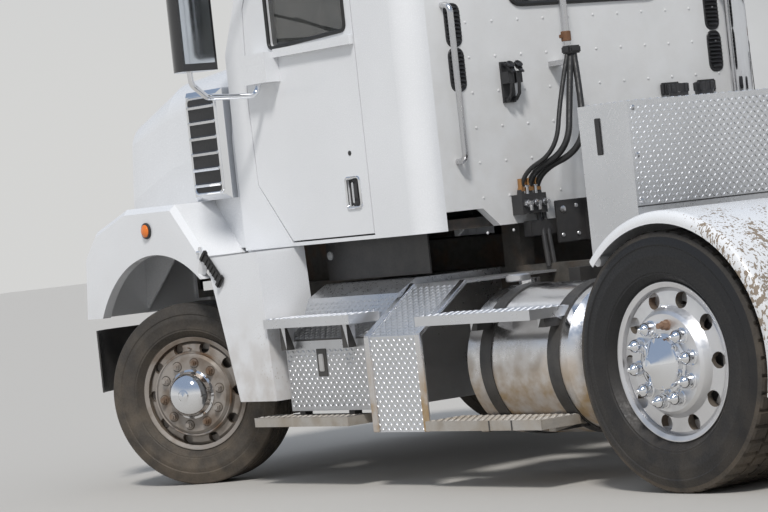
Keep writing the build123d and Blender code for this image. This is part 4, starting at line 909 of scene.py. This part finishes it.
# Dark beam under the rear wall, its bolted plate and two pipes
bracket, washers = bmesh.new(), bmesh.new()
slab(bracket, at(1.535, -0.47, 0.982), at(1.59, 0.495, 1.05), 0.004)
slab(bracket, at(1.517, 0.2, 0.942), at(1.525, 0.368, 1.124), 0.003)
slab(bracket, at(1.484, 0.2, 0.942), at(1.525, 0.207, 1.124), 0.002)
slab(bracket, at(1.522, 0.225, 0.99), at(1.54, 0.345, 1.045), 0.002)
for y, z, radius in ((0.25, 0.975, 0.009), (0.338, 0.975, 0.009), (0.25, 1.095, 0.009),
                     (0.325, 1.084, 0.015)):
    lathe(washers, [(0.0, 0.005), (radius * 0.8, 0.005), (radius, 0.003), (radius, -0.001)],
          frame_at(at(1.517, y, z), BACK), 20)
for y in (0.395, 0.425):
    tube(bracket, [at(1.562, y, 1.105), at(1.562, y, 1.06), at(1.548, y, 1.02), at(1.53, y + 0.01, 0.96),
                   at(1.514, y + 0.013, 0.85)], 0.011, 12)
place_mesh("rear_beam", bracket, ROOT, black_metal)
place_mesh("rear_beam_bolts", washers, ROOT, steel)

# Coupling holder with two hooks on bolted plates, and nuts on the junction block
gear = bmesh.new()
for y in (0.465, 0.509):
    head = frame_at(at(1.541, y, 1.704), (-0.72, 0, 0.7))
    for low, high, half in ((-0.03, -0.006, 0.012), (-0.008, 0.014, 0.017), (0.012, 0.032, 0.0212)):
        slab(gear, (-half, low, -0.004), (half, high, 0.004), 0.003, head)
    flared = [(0.017, 0.004), (0.019, 0.007), (0.019, 0.014), (0.014, 0.016), (0.01, 0.01), (0.0, 0.01)]
    lathe(gear, flared, head @ Matrix.Translation((0, 0.012, 0)), 24)
    tube(gear, [at(1.556, y, 1.69), at(1.55, y, 1.64), at(1.556, y, 1.596), at(1.578, y, 1.572),
                at(1.596, y, 1.57)], 0.0075, 10)
    for z in (1.722, 1.578):
        bar(gear, at(1.594, y - 0.004, z), at(1.586, y - 0.004, z), 0.0075, 6)
for y in (0.415, 0.462, 0.509):
    bar(gear, at(1.566, y, 1.164), at(1.566, y, 1.185), 0.019, 6, 0.015)
place_mesh("valve_fittings", gear, ROOT, black_metal)

# Clamps on the post
ring = bmesh.new()
lathe(ring, [(0.018, -0.022), (0.0215, -0.02), (0.0215, 0.02), (0.018, 0.022)],
      Matrix.Translation(at(1.505, 0.215, 1.82)), 24)
slab(ring, at(1.5, 0.236, 1.812), at(1.51, 0.252, 1.828), 0.002)
place_mesh("post_clamp", ring, ROOT, rust)
holder = bmesh.new()
slab(holder, at(1.44, 0.192, 1.742), at(1.494, 0.263, 1.776), 0.006)
slab(holder, at(1.436, 0.205, 1.752), at(1.442, 0.25, 1.766), 0.002)
place_mesh("line_clamp", holder, ROOT, black_metal)

# Lines behind the cab, each one smooth curve from the post to the junction block
POST_BACK = 1.505 - 0.022
BLOCK_STATION = 1.5657
BLOCK_TOP = 1.1653
line_rows = (
    # name, end on the junction block, side step at the post, outward belly, radius, length
    ("line_outer", LINE_ENDS[0], 0.0, 0.15, 0.014, 0.757),
    ("line_middle", LINE_ENDS[1], 0.04, 0.095, 0.014, 0.721),
    ("line_inner", LINE_ENDS[2], 0.075, 0.06, 0.01, 0.707),
)
ends = bmesh.new()
for name, end_y, step, belly, radius, length in line_rows:
    top = POST_BACK - radius
    points = (at(top, 0.215 + step / 3, 1.76), at(top - belly / 2, 0.265 + step, 1.56),
              at(top - belly, 0.34 + step, 1.33), at(BLOCK_STATION, end_y, 1.25),
              at(BLOCK_STATION, end_y, BLOCK_TOP))
    curve = bpy.data.curves.new(name, "CURVE")
    curve.dimensions = "3D"
    curve.bevel_depth = radius
    curve.bevel_resolution = 4
    curve.use_fill_caps = True
    spline = curve.splines.new("NURBS")
    spline.points.add(len(points) - 1)
    for control, point in zip(spline.points, points):
        control.co = (*point, 1)
    spline.order_u = 3
    spline.use_endpoint_u = True
    spline.resolution_u = 16
    curve.materials.append(rubber)
    cable = new_object(name, curve)
    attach(cable, ROOT)
    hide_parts("air_lines")
    sleeve = radius + 0.0035
    bar(ends, at(BLOCK_STATION, end_y, 1.186), at(BLOCK_STATION, end_y, 1.232), sleeve, 16, sleeve * 0.96)
    bar(ends, at(BLOCK_STATION, end_y, 1.178), at(BLOCK_STATION, end_y, 1.192), sleeve + 0.004, 6)
place_mesh("line_ends", ends, ROOT, brass)

# Seats: crowned cushions in place of the plain blocks
SEAT_FLOOR = 1.09


def cushion(name, centre, size, tilt, crown=0.012):
    """Crowned cushion whose sides pull in between its corners, with a piped seam."""
    bm = bmesh.new()
    bmesh.ops.create_cube(bm, size=2)
    bmesh.ops.subdivide_edges(bm, edges=bm.edges[:], cuts=11, use_grid_fill=True)
    where = turn_at(centre, tilt, "Y")
    thin = 2 if size[2] < size[0] else 0
    for vert in bm.verts:
        x, y, z = vert.co
        power = (abs(x) ** 7 + abs(y) ** 7 + abs(z) ** 7) ** (1 / 7)
        x, y, z = x / power, y / power, z / power
        length_way = x if thin == 2 else z
        full = (1 - length_way * length_way) * (1 - y * y)
        channel = 0.012 * sum(math.exp(-((y - g) / 0.05) ** 2) for g in (-0.33, 0.33))
        shape = [x * size[0] / 2, y * size[1] / 2, z * size[2] / 2]
        lift = crown * full - channel * (0.3 + 0.7 * full)
        shape[thin] += math.copysign(lift, shape[thin]) if abs((x, y, z)[thin]) > 0.3 else 0
        vert.co = where @ Vector(shape)
    thing = place_mesh(name, bm, ROOT, cloth, 50)
    return thing


for side_name, y in (("driver", 0.43), ("passenger", -0.43)):
    seat = cushion("seat_cushion_" + side_name, at(1.97, y, SEAT_FLOOR + 0.32), (0.48, 0.48, 0.125), 0)
    back = cushion("seat_back_" + side_name, at(1.8, y, SEAT_FLOOR + 0.65), (0.115, 0.46, 0.64), -8)
    base = bmesh.new()
    slab(base, at(1.79, y - 0.18, SEAT_FLOOR + 0.001), at(2.13, y + 0.18, SEAT_FLOOR + 0.06), 0.01)
    slab(base, at(1.84, y - 0.14, SEAT_FLOOR + 0.05), at(2.08, y + 0.14, SEAT_FLOOR + 0.255), 0.02)
    stand = place_mesh("seat_base_" + side_name, base, ROOT, trim)
    for thing in (seat, back, stand):
        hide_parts("seats")


# Stage, light and camera
def build_stage():
    floor_mesh = bpy.data.meshes.new("floor")
    half = 60
    floor_mesh.from_pydata([(-half, -half, 0), (half, -half, 0), (half, half, 0), (-half, half, 0)], [],
                           [(0, 1, 2, 3)])
    floor = new_object("floor", floor_mesh)
    material = bpy.data.materials.new("floor_pale")
    material.use_nodes = True
    shader = material.node_tree.nodes["Principled BSDF"]
    shader.inputs["Base Color"].default_value = (0.5, 0.485, 0.46, 1)
    shader.inputs["Roughness"].default_value = 0.9
    floor_mesh.materials.append(material)

    world = bpy.data.worlds.new("studio")
    bpy.context.scene.world = world
    world.use_nodes = True
    tree = world.node_tree
    background = tree.nodes["Background"]
    rays = node(tree, "ShaderNodeLightPath")
    direction = node(tree, "ShaderNodeTexCoord").outputs["Generated"]
    up = node(tree, "ShaderNodeSeparateXYZ", {0: direction}).outputs[2]
    studio = blend_colour(tree, spread(tree, up, 0.02, 0.55), (0.66, 0.66, 0.65, 1), (0.26, 0.33, 0.45, 1))
    around = blend_colour(tree, spread(tree, up, -0.1, 0.6), (0.5, 0.49, 0.47, 1), (0.52, 0.56, 0.62, 1))
    shown = calc(tree, "MAXIMUM", rays.outputs["Is Camera Ray"], rays.outputs["Is Glossy Ray"])
    shown = calc(tree, "MAXIMUM", shown, rays.outputs["Is Transmission Ray"])
    tree.links.new(blend_colour(tree, shown, around, studio), background.inputs[0])
    background.inputs[1].default_value = 1.0

    sun = bpy.data.lights.new("sun", "SUN")
    sun.energy = 2.3
    sun.angle = 0.16
    sun.color = (1.0, 0.97, 0.93)
    lamp = new_object("sun", sun)
    lamp.rotation_euler = (-Vector((-6.0, 5.4, 10.0))).to_track_quat("-Z", "Y").to_euler()


def build_camera():
    position = Vector((-9.2323, 8.7196, 1.1717))
    heading, pitch, roll = -0.6512, -0.016, -0.1073
    focal_pixels, image_width, sensor = 2999.26, 768, 36.0
    forward = Vector((math.cos(pitch) * math.cos(heading), math.cos(pitch) * math.sin(heading),
                      math.sin(pitch)))
    level = forward.cross(Vector(UP)).normalized()
    upright = level.cross(forward)
    right = level * math.cos(roll) + upright * math.sin(roll)
    top = upright * math.cos(roll) - level * math.sin(roll)
    data = bpy.data.cameras.new("camera")
    data.sensor_width = sensor
    data.lens = focal_pixels / image_width * sensor
    data.clip_end = 200
    camera = new_object("camera", data)
    columns = Matrix((right, top, -forward)).transposed().to_4x4()
    camera.matrix_world = Matrix.Translation(position) @ columns
    bpy.context.scene.camera = camera


build_stage()
build_camera()
bpy.context.scene.view_settings.view_transform = "Standard"
